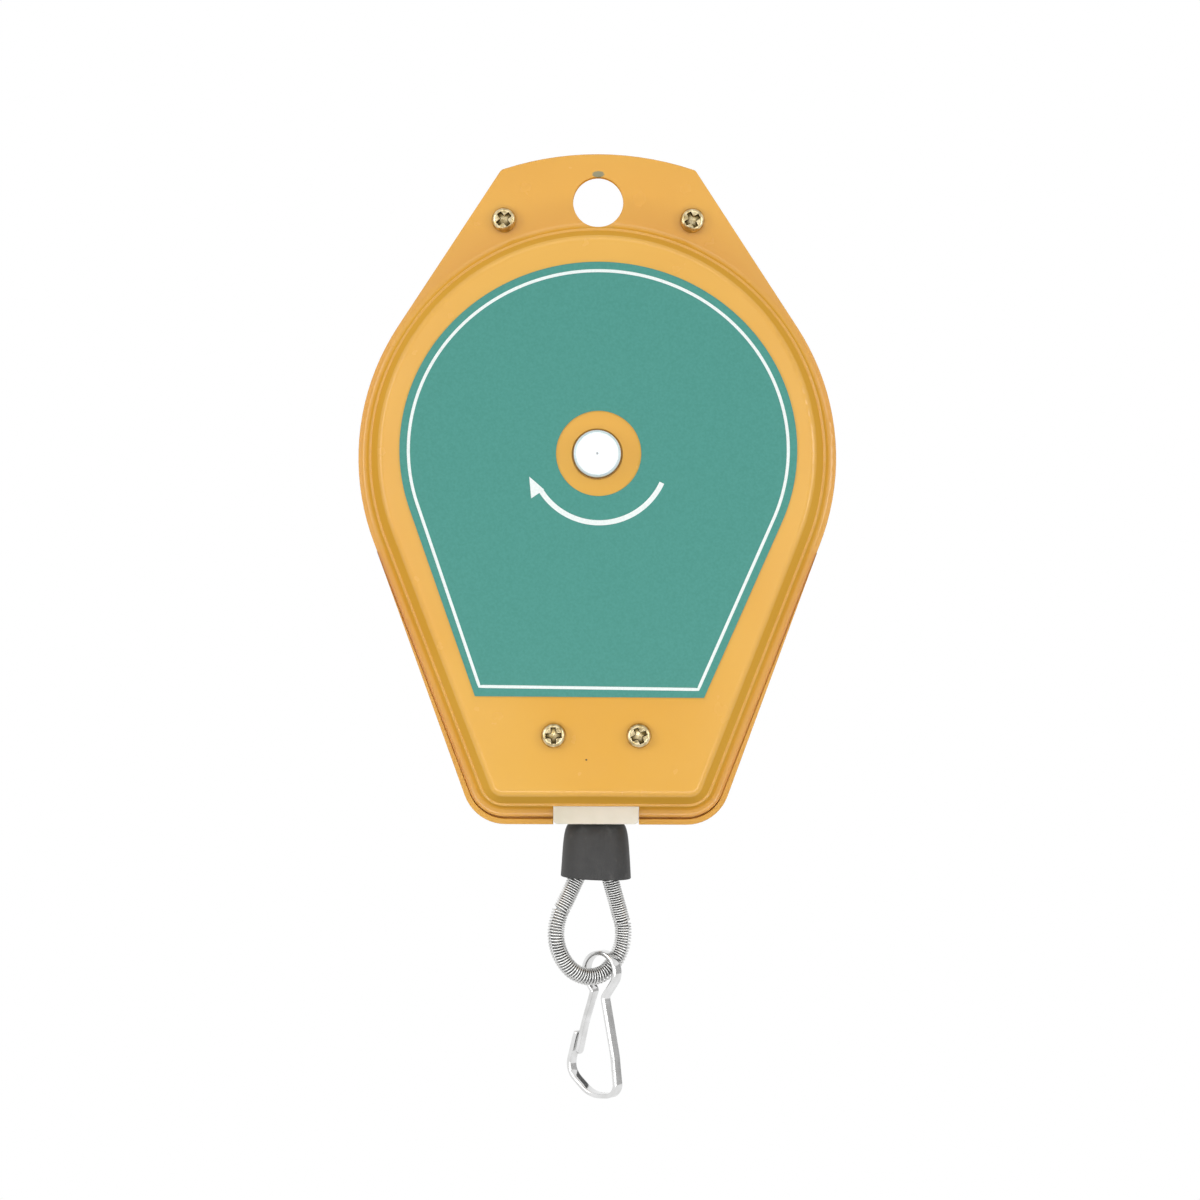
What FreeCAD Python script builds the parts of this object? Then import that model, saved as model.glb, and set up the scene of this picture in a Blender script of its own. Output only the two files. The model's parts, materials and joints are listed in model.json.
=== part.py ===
import FreeCAD, Part
import math
import os
import re
import Sketcher

# Tool balancer with a pressed two-part casing, a spring reel and a snap hook on a wire rope.
# Millimetres. The origin is the centre of the hanging hole, on the joint between the two covers.
# +Z is up, the labelled front looks along -Y, and +X is to the right of the front.

Vector = FreeCAD.Vector
doc = FreeCAD.newDocument("tool_balancer")
sizes = doc.addObject("Spreadsheet::Sheet", "Sizes")

DIMENSIONS = [
    # Casing
    ("hole_rise", 3.7, "hanging hole above the top of the rim"),
    ("half_depth", 18.0, "joint face to the flat of one cover"),
    ("sheet_metal", 1.2, "thickness of the pressed covers"),
    ("rim_radius", 52.3, "edge of both covers round the arbor"),
    ("side_slope", 20.0, "lower sides from the vertical, degrees"),
    ("bottom_reach", 80.2, "arbor axis down to the bottom edge"),
    ("rim_corner", 9.5, "bottom corner of the rear cover"),
    ("lip_lean", 1.2, "how much more the front cover's sides lean, degrees"),
    ("lip_depth", 1.7, "how far the rear cover laps over the front one"),
    ("lip_clearance", 0.05, "between the lip and the front cover"),
    ("bottom_gap", 0.45, "between the covers along the bottom edge"),
    ("flange_width", 1.7, "edge of the front cover to its drawn wall"),
    ("rear_inset", 1.9, "how much smaller the rear cover is drawn"),
    ("foot_round", 1.6, "hollow rounding where the wall meets the flange"),
    ("rear_foot", 1.2, "the same on the rear cover, clear of the hanging hole"),
    ("ledge_depth", 8.0, "joint face to the ledge"),
    ("ledge_inset", 1.05, "foot of the wall to the outer edge of the ledge"),
    ("ledge_width", 0.6, "flat of the ledge"),
    ("face_inset", 2.2, "ledge to the edge of the flat face"),
    ("face_round", 1.4, "rounding of the face edge"),
    ("step_round", 0.28, "rounding of the ledge"),
    ("overlap", 0.01, "how far a second cut reaches into the first"),
    ("cut_past", 1.0, "how far a cut runs past the surface that it opens"),
    ("lug_height", 14.2, "rim to the top edge of the lug"),
    ("lug_slope", 33.2, "lug sides from the vertical, degrees"),
    ("lug_round", 1.5, "corners of the lug"),
    ("hang_hole", 5.5, "hanging hole radius"),
    ("shaft_hole", 5.45, "opening round the arbor in both covers"),
    ("notch_width", 18.8, "gap in the bottom edge for the cable guide"),
    # Screws
    ("screw_radius", 1.5, "M3 shank"),
    ("screw_clearance", 0.15, "round the shanks"),
    ("head_radius", 2.7, "pan head"),
    ("head_height", 1.9, "pan head"),
    ("head_round", 1.14, "rim of the pan head"),
    ("recess_reach", 1.35, "half length of the cross recess"),
    ("recess_width", 0.7, "slot of the cross recess"),
    ("recess_depth", 1.1, "depth of the cross recess"),
    ("nut_flats", 5.5, "M3 nut across flats"),
    ("nut_height", 2.4, "M3 nut"),
    ("thread_end", 0.8, "screw beyond its nut"),
    ("top_screw_x", 20.6, "lug screws from the middle"),
    ("top_screw_drop", 4.0, "lug screws below the hanging hole"),
    ("bottom_screw_x", 9.1, "lower screws from the middle"),
    ("bottom_screw_rise", 20.2, "lower screws above the bottom edge"),
    # Label
    ("label_margin", 4.75, "edge of the flat face to the round part of the label"),
    ("label_shift", 0.8, "its centre below the arbor axis"),
    ("label_slope", 21.7, "sides of the label from the vertical"),
    ("label_rise", 28.4, "its bottom edge above the bottom of the covers"),
    ("label_corner", 0.5, "its bottom corners"),
    ("label_opening", 9.3, "hole round the arbor"),
    ("label_thickness", 0.3, "foil with its glue"),
    # Arbor and ratchet
    ("arbor_radius", 5.0, "arbor"),
    ("arbor_proud", 3.0, "front end of the arbor beyond the face"),
    ("arbor_chamfer", 0.5, "ends of the arbor"),
    ("running_clearance", 0.04, "radial, shafts in their bores"),
    ("bush_radius", 10.0, "cover bushes"),
    ("bush_thickness", 1.6, "cover bushes"),
    ("clip_thickness", 1.0, "retaining rings"),
    ("clip_radius", 7.4, "retaining rings"),
    ("clip_opening", 6.0, "gap of the retaining rings"),
    ("groove_depth", 0.5, "ring grooves of the arbor"),
    ("spring_tab", 2.6, "depth of the slot for the end of the spring"),
    ("washer_thickness", 0.6, "thrust washers"),
    ("washer_radius", 8.5, "thrust washers"),
    ("end_play", 0.1, "axial gap between turning faces"),
    ("wheel_tip", 12.0, "ratchet wheel over the teeth"),
    ("wheel_root", 10.0, "ratchet wheel between the teeth"),
    ("wheel_teeth", 12, "teeth"),
    ("wheel_thickness", 3.0, "ratchet wheel"),
    ("wheel_standoff", 1.6, "spacer ring between rear cover and wheel"),
    ("key_flats", 8.0, "square of the arbor in the wheel"),
    ("key_length", 8.0, "square end of the arbor beyond the wheel"),
    ("pin_radius", 2.0, "pawl pin"),
    ("pin_head", 3.2, "head of the pawl pin"),
    ("pawl_x", 14.3, "pawl pin from the arbor, across"),
    ("pawl_z", 13.0, "pawl pin from the arbor, up"),
    ("pawl_boss", 4.0, "round end of the pawl"),
    ("pawl_heel", 0.5, "tip of the pawl off the root of the teeth"),
    ("pin_cap", 1.2, "thickness of the pin's head"),
    ("leaf_thickness", 0.4, "leaf spring of the pawl"),
    ("leaf_off", 4.2, "leaf beside the tip of the pawl"),
    ("leaf_rise", 8.0, "its end above the arbor"),
    ("leaf_bend", 6.0, "its bend"),
    ("leaf_foot", 5.0, "its foot"),
    ("leaf_foot_x", 20.5, "its foot from the arbor, across"),
    ("leaf_foot_z", -6.0, "top of its foot from the arbor"),
    # Reel
    ("web_thickness", 2.5, "front web and rear cover of the reel"),
    ("flange_height", 10.3, "rope flanges above the drum"),
    ("drum_wall", 4.0, "wall of the spring chamber"),
    ("flange_clearance", 2.35, "rope flanges to the wall of the rear cover"),
    ("flange_thickness", 1.6, "rope flanges"),
    ("groove_half", 4.2, "half the width between the flanges"),
    ("reel_bush_radius", 6.5, "bushes of the reel"),
    ("reel_bush_flange", 8.5, "their flanges"),
    ("reel_bush_lip", 1.0, "thickness of their flanges"),
    ("reel_screw_radius", 1.0, "M2 screws of the reel cover"),
    ("reel_screw_head", 1.9, "their heads"),
    ("reel_screw_lift", 1.2, "height of their heads"),
    ("reel_screw_length", 6.0, "their length in the drum wall"),
    ("reel_screws", 4, "screws of the reel cover"),
    ("spring_side_gap", 0.4, "spring strip to the walls of its chamber"),
    ("spring_strip", 0.8, "thickness of the spring strip"),
    ("spring_turns", 8, "turns of the spring"),
    ("spring_seat", 0.05, "outer end of the spring to the chamber wall"),
    ("anchor_radius", 2.2, "swaged end of the rope behind the flange"),
    ("anchor_length", 4.0, "its length"),
    # Rope
    ("rope_radius", 1.2, "wire rope"),
    ("rope_layers", 2, "layers on the drum"),
    ("rope_run_clearance", 0.2, "between the wound layers and the leaving rope"),
    ("wrap_angle", 25.0, "leaving rope still round the drum, degrees"),
    ("guide_bend", 8.0, "radius of the rope in the guide"),
    ("bend_rise", 17.7, "lower end of that bend above the end of the guide"),
    ("span_rise", 7.7, "moving rope begins this far above the end of the guide"),
    # Cable guide
    ("guide_side_gap", 0.15, "nose to the sides of the notch"),
    ("nose_recess", 0.5, "lowest face of the guide above the bottom edge"),
    ("guide_seat_gap", 0.3, "shoulder of the guide to the inside of the covers"),
    ("guide_height", 26.7, "top of the guide above its lowest face"),
    ("guide_half_width", 13.0, "body of the guide"),
    ("guide_bore", 1.7, "hole for the rope"),
    ("guide_flare", 0.83, "how far the funnel opens for each millimetre of height"),
    ("guide_mouth_round", 1.0, "lower rim of the hole"),
    ("boss_radius", 3.6, "bosses on the lower screws"),
    # Rope end
    ("stopper_gap", 0.3, "guide to stopper at rest"),
    ("stopper_height", 11.9, "rubber stopper"),
    ("stopper_top", 6.1, "its radius at the top"),
    ("stopper_foot", 7.7, "its radius at the foot"),
    ("stopper_round", 1.4, "its upper edge"),
    ("ferrule_top_gap", 1.6, "rubber above the ferrule"),
    ("ferrule_height", 5.4, "swaged ferrule"),
    ("ferrule_radius", 3.3, "swaged ferrule"),
    ("pocket_radius", 5.9, "mouth of the hollow under the ferrule"),
    ("loop_twist", 26.0, "plane of the loop from the front, degrees"),
    ("leg_spacing", 1.9, "half spacing of the rope in the ferrule"),
    ("leg_straight", 1.6, "straight start of each leg"),
    ("leg_bend", 4.0, "bend below it"),
    ("loop_radius", 8.0, "round bottom of the loop"),
    ("shoulder_rise", 12.1, "shoulders of the loop above its lowest point"),
    ("loop_length", 21.5, "stopper down to the lowest point of its centre line"),
    ("sheath_radius", 1.9, "wound sheath outside"),
    ("sheath_bore", 1.32, "wound sheath inside"),
    ("sheath_lap", 2.2, "sheath inside the stopper"),
    # Snap hook
    ("hook_turn", -36.0, "plane of the hook from the front, degrees"),
    ("hook_across", 0.7, "middle of the eye from the middle of the loop, in that plane"),
    ("hook_behind", 1.33, "and behind it"),
    ("strip_thickness", 1.0, "strip of the hook"),
    ("strip_width", 2.6, "strip of the hook"),
    ("gate_width", 2.2, "its springy end"),
    ("eye_radius", 4.1, "centre line of the eye"),
    ("eye_gap", 2.5, "eye above the sheath, as the hook lies in the photograph"),
    ("neck_across", 1.0, "neck between eye and spine, across"),
    ("neck_below", 5.6, "and below the middle of the eye"),
    ("neck_bend", 1.2, "its radius"),
    ("root_across", 1.9, "root of the gate, across"),
    ("root_below", 4.3, "and below the middle of the eye"),
    ("root_gap", 0.1, "end of the eye strip to the gate"),
    ("spine_across", 3.7, "bend of the spine, across"),
    ("spine_below", 18.3, "and below the eye"),
    ("spine_bend", 12.0, "its radius"),
    ("bow_right", 4.7, "right corner of the bow"),
    ("bow_right_below", 26.9, "and below the eye"),
    ("bow_right_bend", 2.6, "its radius"),
    ("bow_bottom", 2.2, "bottom corner of the bow"),
    ("bow_bottom_below", 27.3, "and below the eye"),
    ("bow_bottom_bend", 6.0, "its radius"),
    ("bow_left", 8.7, "left corner of the bow"),
    ("bow_left_below", 22.3, "and below the eye"),
    ("bow_left_bend", 3.5, "its radius"),
    ("nose_across", 6.2, "tip of the nose"),
    ("nose_below", 13.0, "and below the eye"),
    ("gate_across", 6.1, "free end of the gate"),
    ("gate_below", 18.6, "and below the eye"),
    ("gate_bend", 40.0, "slight bend of the gate"),
    ("gate_belly", 0.4, "how far the gate bows out"),
]
for row, (alias, amount, meaning) in enumerate(DIMENSIONS, 1):
    sizes.set("A%d" % row, alias)
    sizes.set("B%d" % row, str(amount))
    sizes.set("C%d" % row, meaning)
    sizes.setAlias("B%d" % row, alias)
doc.recompute()

# Sizes that follow from the ones in the sheet, under names of their own
FOLLOWING = {
    "axis_drop": "(rim_radius + hole_rise)",
    "bottom_drop": "(axis_drop + bottom_reach)",
    "lug_arc": "(rim_radius + lug_height)",
    "front_bottom": "(bottom_drop - sheet_metal - bottom_gap)",
    "ledge_radius": "(rim_radius - flange_width - ledge_inset - ledge_width)",
    "rear_ledge_radius": "(ledge_radius - rear_inset)",
    "ledge_drop": "(front_bottom - flange_width - ledge_inset - ledge_width)",
    "rear_ledge_drop": "(ledge_drop - rear_inset)",
    "label_radius": "(ledge_radius - face_inset - label_margin)",
    "label_drop": "(bottom_drop - label_rise)",
    "bottom_screw_drop": "(bottom_drop - bottom_screw_rise)",
    "flange_radius": "(rear_ledge_radius - sheet_metal - flange_clearance)",
    "drum_radius": "(flange_radius - flange_height)",
    "inner_depth": "(half_depth - sheet_metal)",
    "reel_half": "(inner_depth - bush_thickness - clip_thickness - washer_thickness"
                 " - reel_bush_lip - 3 * end_play)",
    "chamber_half": "(reel_half - web_thickness)",
    "chamber_radius": "(drum_radius - drum_wall)",
    "spring_half_width": "(chamber_half - spring_side_gap)",
    "winding_radius": "(drum_radius + 2 * rope_radius * rope_layers)",
    "leaving_radius": "(winding_radius + rope_run_clearance + rope_radius)",
    "wheel_front": "(half_depth + wheel_standoff)",
    "wheel_rear": "(wheel_front + wheel_thickness)",
    "guide_nose_drop": "(bottom_drop - nose_recess)",
    "guide_top_drop": "(guide_nose_drop - guide_height)",
    "bend_drop": "(guide_nose_drop - bend_rise)",
    "span_top": "(guide_nose_drop - span_rise)",
    "stopper_crown": "(guide_nose_drop + stopper_gap)",
    "stopper_base": "(stopper_crown + stopper_height)",
    "ferrule_head": "(stopper_crown + ferrule_top_gap)",
    "ferrule_base": "(ferrule_head + ferrule_height)",
    "screw_hole": "(screw_radius + screw_clearance)",
    "arbor_bore": "(arbor_radius + running_clearance)",
    "arbor_rear": "(wheel_rear + key_length)",
    "clip_face": "(inner_depth - bush_thickness - end_play)",
    "bush_seat": "(reel_bush_radius + running_clearance / 2)",
    "flange_face": "(groove_half + flange_thickness)",
    "screw_circle": "(drum_radius - drum_wall / 2)",
    "winding_half": "(groove_half - rope_run_clearance)",
    "winding_edge": "(winding_radius - rope_radius)",
    "stopper_bore": "(rope_radius + running_clearance)",
    "guide_shoulder": "(rear_ledge_drop - sheet_metal - guide_seat_gap)",
    "nose_half_depth": "(ledge_depth - step_round - guide_side_gap)",
    "front_slope": "(side_slope + lip_lean)",
    "loop_bottom_drop": "(stopper_base + loop_length)",
    "loop_shoulder_drop": "(loop_bottom_drop - shoulder_rise)",
    "eye_drop": "(loop_bottom_drop - sheath_radius - eye_gap + eye_radius - strip_thickness / 2)",
}
ALIASES = {alias for alias, amount, meaning in DIMENSIONS}
PIECES = []


def bound(expression):
    """Writes an expression of size names so that a feature can be bound to the sheet."""
    def cell(word):
        name = word.group()
        if name in FOLLOWING:
            return bound(FOLLOWING[name])
        return "Sizes." + name if name in ALIASES else name
    return re.sub(r"[a-z][a-z_0-9]*", cell, expression)


def size(expression):
    """The present value of an expression of size names."""
    result = sizes.evalExpression(bound(expression))
    return float(getattr(result, "Value", result))


def new_body(label, at_axis=False):
    """A sub-part made of sketches and features, on the arbor axis or on the hanging hole."""
    body = doc.addObject("PartDesign::Body", label)
    body.Label = label
    if at_axis:
        body.setExpression(".Placement.Base.z", bound("-axis_drop"))
    PIECES.append(body)
    return body


def origin_plane(body, role):
    return [part for part in body.Origin.OriginFeatures if part.Role == role][0]


def new_sketch(body, plane="XZ_Plane", depth="0"):
    """A sketch on one of the body's own planes, lifted off it by depth.

    On XZ_Plane the sketch shows the object from the front, and depth goes to the front.
    """
    sketch = body.newObject("Sketcher::SketchObject", body.Label + "_sketch")
    sketch.AttachmentSupport = [(origin_plane(body, plane), "")]
    sketch.MapMode = "FlatFace"
    sketch.setExpression(".AttachmentOffset.Base.z", bound(depth))
    return sketch


def dimension(sketch, kind, places, expression):
    """A driving dimension of a sketch, bound to the sheet."""
    amount = size(expression)
    if kind == "Angle":
        amount = math.radians(amount)
    index = sketch.addConstraint(Sketcher.Constraint(kind, *places, amount))
    sketch.setExpression("Constraints[%d]" % index, bound(expression))


def place(sketch, shape, point, across, up):
    """Places a point of the sketch at a distance from the sketch's origin."""
    if across == "0":
        sketch.addConstraint(Sketcher.Constraint("PointOnObject", shape, point, -2))
    else:
        dimension(sketch, "DistanceX", (-1, 1, shape, point), across)
    if up == "0":
        sketch.addConstraint(Sketcher.Constraint("PointOnObject", shape, point, -1))
    else:
        dimension(sketch, "DistanceY", (-1, 1, shape, point), up)


def circle(sketch, across, up, radius):
    centre = Vector(size(across), size(up), 0)
    shape = sketch.addGeometry(Part.Circle(centre, Vector(0, 0, 1), size(radius)))
    place(sketch, shape, 3, across, up)
    dimension(sketch, "Radius", (shape,), radius)


def polygon(sketch, corners):
    """A closed outline of straight lines, with every corner bound to the sheet."""
    points = [Vector(size(across), size(up), 0) for across, up in corners]
    first = sketch.GeometryCount
    for index, point in enumerate(points):
        sketch.addGeometry(Part.LineSegment(point, points[(index + 1) % len(points)]))
    for index, (across, up) in enumerate(corners):
        after = first + (index + 1) % len(points)
        sketch.addConstraint(Sketcher.Constraint("Coincident", first + index, 2, after, 1))
        place(sketch, first + index, 1, across, up)


def rectangle(sketch, left, right, low, high):
    polygon(sketch, [(left, low), (right, low), (right, high), (left, high)])


def casing_outline(sketch, radius, drop, corner, centre, slope="side_slope"):
    """The outline that the pressings and the label share.

    An arc about the arbor, straight sides tangent to it, and a flat bottom with round corners.
    """
    arc, base = size(radius), -size(drop)
    middle, bend, lean = size(centre), size(corner), math.radians(size(slope))
    side = Vector(math.cos(lean), -math.sin(lean), 0)
    down = Vector(-math.sin(lean), -math.cos(lean), 0)
    touch = Vector(0, middle, 0) + side * arc
    round_up = base + bend
    reach = (touch.y - (round_up + side.y * bend)) / -down.y
    side_end = touch + down * reach
    round_middle = side_end - side * bend
    low = Vector(round_middle.x, base, 0)
    turn = Vector(0, 0, 1)
    start = math.atan2(side.y, side.x)
    top = sketch.addGeometry(Part.ArcOfCircle(
        Part.Circle(Vector(0, middle, 0), turn, arc), start, math.pi - start))
    right = sketch.addGeometry(Part.LineSegment(touch, side_end))
    right_bend = sketch.addGeometry(Part.ArcOfCircle(
        Part.Circle(round_middle, turn, bend), -math.pi / 2, start))
    bottom = sketch.addGeometry(Part.LineSegment(low, Vector(-low.x, base, 0)))
    left_bend = sketch.addGeometry(Part.ArcOfCircle(
        Part.Circle(Vector(-round_middle.x, round_middle.y, 0), turn, bend),
        math.pi - start, 3 * math.pi / 2))
    left = sketch.addGeometry(Part.LineSegment(
        Vector(-side_end.x, side_end.y, 0), Vector(-touch.x, touch.y, 0)))
    for one, end, other, begin in ((top, 1, right, 1), (right, 2, right_bend, 2),
                                   (right_bend, 1, bottom, 1), (bottom, 2, left_bend, 2),
                                   (left_bend, 1, left, 1), (left, 2, top, 2)):
        sketch.addConstraint(Sketcher.Constraint("Tangent", one, end, other, begin))
    sketch.addConstraint(Sketcher.Constraint("PointOnObject", top, 3, -2))
    sketch.addConstraint(Sketcher.Constraint("Horizontal", bottom))
    sketch.addConstraint(Sketcher.Constraint("Equal", right_bend, left_bend))
    sketch.addConstraint(Sketcher.Constraint("Equal", right, left))
    if centre != "0":
        dimension(sketch, "DistanceY", (-1, 1, top, 3), centre)
    else:
        sketch.addConstraint(Sketcher.Constraint("PointOnObject", top, 3, -1))
    dimension(sketch, "Radius", (top,), radius)
    dimension(sketch, "Radius", (right_bend,), corner)
    dimension(sketch, "DistanceY", (-1, 1, bottom, 1), "-" + drop)
    dimension(sketch, "Angle", (right,), "-90 - " + slope)


def lug_outline(sketch):
    """The lug: a top arc about the arbor and sides tangent to the rim."""
    radius, arc = "rim_radius", "lug_arc"
    lean = math.radians(size("lug_slope"))
    middle = Vector(0, -size("axis_drop"), 0)
    side = Vector(math.cos(lean), math.sin(lean), 0)
    rise = math.sqrt(size(arc) ** 2 - size(radius) ** 2)
    touch = middle + side * size(radius)
    corner = touch + Vector(-math.sin(lean), math.cos(lean), 0) * rise
    spread = math.atan2(corner.y - middle.y, corner.x)
    turn = Vector(0, 0, 1)
    top = sketch.addGeometry(Part.ArcOfCircle(
        Part.Circle(middle, turn, size(arc)), spread, math.pi - spread))
    right = sketch.addGeometry(Part.LineSegment(corner, touch))
    left = sketch.addGeometry(Part.LineSegment(
        Vector(-touch.x, touch.y, 0), Vector(-corner.x, corner.y, 0)))
    right_in = sketch.addGeometry(Part.LineSegment(touch, middle))
    left_in = sketch.addGeometry(Part.LineSegment(middle, Vector(-touch.x, touch.y, 0)))
    for one, end, other, begin in ((top, 1, right, 1), (right, 2, right_in, 1),
                                   (right_in, 2, left_in, 1), (left_in, 2, left, 1),
                                   (left, 2, top, 2)):
        sketch.addConstraint(Sketcher.Constraint("Coincident", one, end, other, begin))
    sketch.addConstraint(Sketcher.Constraint("Coincident", top, 3, right_in, 2))
    sketch.addConstraint(Sketcher.Constraint("Perpendicular", right, right_in))
    sketch.addConstraint(Sketcher.Constraint("Perpendicular", left, left_in))
    sketch.addConstraint(Sketcher.Constraint("PointOnObject", top, 3, -2))
    dimension(sketch, "DistanceY", (-1, 1, top, 3), "-axis_drop")
    dimension(sketch, "Radius", (top,), arc)
    dimension(sketch, "Distance", (right_in,), radius)
    dimension(sketch, "Distance", (left_in,), radius)
    dimension(sketch, "Angle", (right,), "lug_slope - 90")
    dimension(sketch, "Angle", (left,), "90 - lug_slope")


def pad(sketch, length, taper=None, both=False, back=False):
    body = sketch.getParentGeoFeatureGroup()
    feature = body.newObject("PartDesign::Pad", body.Label + "_pad")
    feature.Profile = sketch
    feature.setExpression("Length", bound(length))
    if taper:
        feature.setExpression("TaperAngle", bound(taper))
    if both:
        feature.SideType = "Symmetric"
    feature.Reversed = back
    return feature


def pocket(sketch, length=None, taper=None, both=False, back=False):
    """A cut from the sketch plane; without a length it goes right through both ways."""
    body = sketch.getParentGeoFeatureGroup()
    feature = body.newObject("PartDesign::Pocket", body.Label + "_pocket")
    feature.Profile = sketch
    if length:
        feature.setExpression("Length", bound(length))
    else:
        feature.Type = "ThroughAll"
        both = True
    if taper:
        feature.setExpression("TaperAngle", bound(taper))
    if both:
        feature.SideType = "Symmetric"
    feature.Reversed = back
    return feature


def revolve(sketch, axis="H_Axis"):
    body = sketch.getParentGeoFeatureGroup()
    feature = body.newObject("PartDesign::Revolution", body.Label + "_revolution")
    feature.Profile = sketch
    feature.ReferenceAxis = (sketch, [axis])
    feature.Angle = 360
    return feature


def groove(sketch, axis="H_Axis"):
    body = sketch.getParentGeoFeatureGroup()
    feature = body.newObject("PartDesign::Groove", body.Label + "_groove")
    feature.Profile = sketch
    feature.ReferenceAxis = (sketch, [axis])
    feature.Angle = 360
    return feature


def mirror(body, role="YZ_Plane"):
    """Repeats all of a body on the other side of one of its planes."""
    copy = body.newObject("PartDesign::Mirrored", body.Label + "_mirror")
    copy.TransformMode = "Whole shape"
    copy.MirrorPlane = (origin_plane(body, role), [""])
    body.Tip = copy
    return copy


def polar(feature, count, whole=False):
    """Repeats one feature, or the whole body, about the arbor."""
    body = feature.getParentGeoFeatureGroup()
    pattern = body.newObject("PartDesign::PolarPattern", body.Label + "_pattern")
    if whole:
        pattern.TransformMode = "Whole shape"
    else:
        pattern.Originals = [feature]
    pattern.Axis = (origin_plane(body, "Y_Axis"), [""])
    pattern.Angle = 360
    pattern.setExpression("Occurrences", bound(count))
    body.Tip = pattern
    return pattern


def edge_names(shape, wanted):
    """Names of the edges of a shape that a test picks out."""
    return ["Edge%d" % number for number, edge in enumerate(shape.Edges, 1) if wanted(edge)]


def fillet(body, wanted, radius):
    """Rounds the edges of the body's last feature that a test picks out."""
    doc.recompute()
    base = body.Tip
    names = edge_names(base.Shape, wanted)
    if not names:
        raise ValueError("no edge to round on " + body.Label)
    feature = body.newObject("PartDesign::Fillet", body.Label + "_fillet")
    feature.Base = (base, names)
    feature.setExpression("Radius", bound(radius))
    return feature


def chamfer(body, wanted, amount):
    doc.recompute()
    base = body.Tip
    names = edge_names(base.Shape, wanted)
    if not names:
        raise ValueError("no edge to bevel on " + body.Label)
    feature = body.newObject("PartDesign::Chamfer", body.Label + "_chamfer")
    feature.Base = (base, names)
    feature.setExpression("Size", bound(amount))
    return feature


def flat_at(edge, y):
    """True for an edge that lies in the plane of this y."""
    box = edge.BoundBox
    return abs(box.YMin - y) < 0.01 and abs(box.YMax - y) < 0.01


def along_y(edge):
    """True for a straight edge from front to rear."""
    box = edge.BoundBox
    return box.YLength > 0.01 and box.XLength < 0.01 and box.ZLength < 0.01


# Casing covers
# Each cover is drawn in two steps from one sheet: a wall from the flange to a ledge, and a second
# wall from the ledge to the flat face. The flange is wide enough only for the edge, and at the top
# it carries on as the lug; the two lugs lie face to face. Below the arbor the rear flange has a lip
# that laps over the edge of the front one, and that lip grows wider downwards.


def cover_outline(sketch, inset, slope, bottom="front_bottom", corner="rim_corner - sheet_metal"):
    """The casing outline, this far inside the edge of a cover."""
    casing_outline(sketch, "(rim_radius - (%s))" % inset, "(%s - (%s))" % (bottom, inset),
                   "(%s - (%s))" % (corner, inset), "-axis_drop", slope)


def pressed_cover(label, toward, wall_inset, foot_radius):
    """One cover; toward is -1 for the front half and 1 for the rear half."""
    body = new_body(label)
    back = toward > 0
    away = "" if toward < 0 else "-"
    lower_draft = "-atan(ledge_inset / ledge_depth)"
    upper_draft = "-atan(face_inset / (half_depth - ledge_depth))"
    ledge_inset = "%s + ledge_inset + ledge_width" % wall_inset
    sketch = new_sketch(body)
    if back:
        cover_outline(sketch, "0", "side_slope", "bottom_drop", "rim_corner")
    else:
        cover_outline(sketch, "0", "front_slope")
    pad(sketch, "sheet_metal", back=back)
    sketch = new_sketch(body)
    lug_outline(sketch)
    pad(sketch, "sheet_metal", back=back)
    sketch = new_sketch(body)
    cover_outline(sketch, wall_inset, "front_slope")
    pad(sketch, "ledge_depth", lower_draft, back=back)
    sketch = new_sketch(body, depth=away + "ledge_depth")
    cover_outline(sketch, ledge_inset, "front_slope")
    pad(sketch, "half_depth - ledge_depth", upper_draft, back=back)
    face = toward * size("half_depth")
    ledge = toward * size("ledge_depth")
    flange = toward * size("sheet_metal")
    fillet(body, lambda edge: flat_at(edge, face), "face_round")
    fillet(body, lambda edge: flat_at(edge, ledge), "step_round")
    fillet(body, lambda edge: along_y(edge) and edge.BoundBox.ZMin > 0, "lug_round")
    foot = inner_wires(body, flange)
    fillet(body, lambda edge: any(edge.isSame(other) for other in foot), foot_radius)
    # The hollow follows the outside, one sheet thickness in
    sketch = new_sketch(body)
    cover_outline(sketch, "%s + sheet_metal" % wall_inset, "front_slope")
    pocket(sketch, "ledge_depth - sheet_metal", lower_draft, back=not back)
    sketch = new_sketch(body, depth="%s(ledge_depth - sheet_metal - overlap)" % away)
    cover_outline(sketch, "%s + sheet_metal" % ledge_inset, "front_slope")
    pocket(sketch, "half_depth - ledge_depth + overlap", upper_draft, back=not back)
    return body


def inner_wires(body, y):
    """The edges round what stands on the flat face of a body at this y."""
    doc.recompute()
    found = []
    for face in body.Tip.Shape.Faces:
        box = face.BoundBox
        if abs(box.YMin - y) < 0.01 and abs(box.YMax - y) < 0.01:
            found += [edge for wire in face.Wires if not wire.isSame(face.OuterWire)
                      for edge in wire.Edges]
    return found


def cover_holes(body, ledge):
    """The holes that both covers share, and the notch for the guide up to the inside of the ledge."""
    sketch = new_sketch(body)
    circle(sketch, "0", "0", "hang_hole")
    circle(sketch, "0", "-axis_drop", "shaft_hole")
    for side in ("", "-"):
        circle(sketch, side + "top_screw_x", "-top_screw_drop", "screw_hole")
        circle(sketch, side + "bottom_screw_x", "-bottom_screw_drop", "screw_hole")
    pocket(sketch)
    sketch = new_sketch(body)
    rectangle(sketch, "-notch_width / 2", "notch_width / 2", "-bottom_drop - sheet_metal",
              "-%s + sheet_metal + guide_seat_gap" % ledge)
    pocket(sketch, "2 * (ledge_depth - step_round)", both=True)


front_cover = pressed_cover("front_cover", -1, "flange_width", "foot_round")
cover_holes(front_cover, "ledge_drop")

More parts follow.
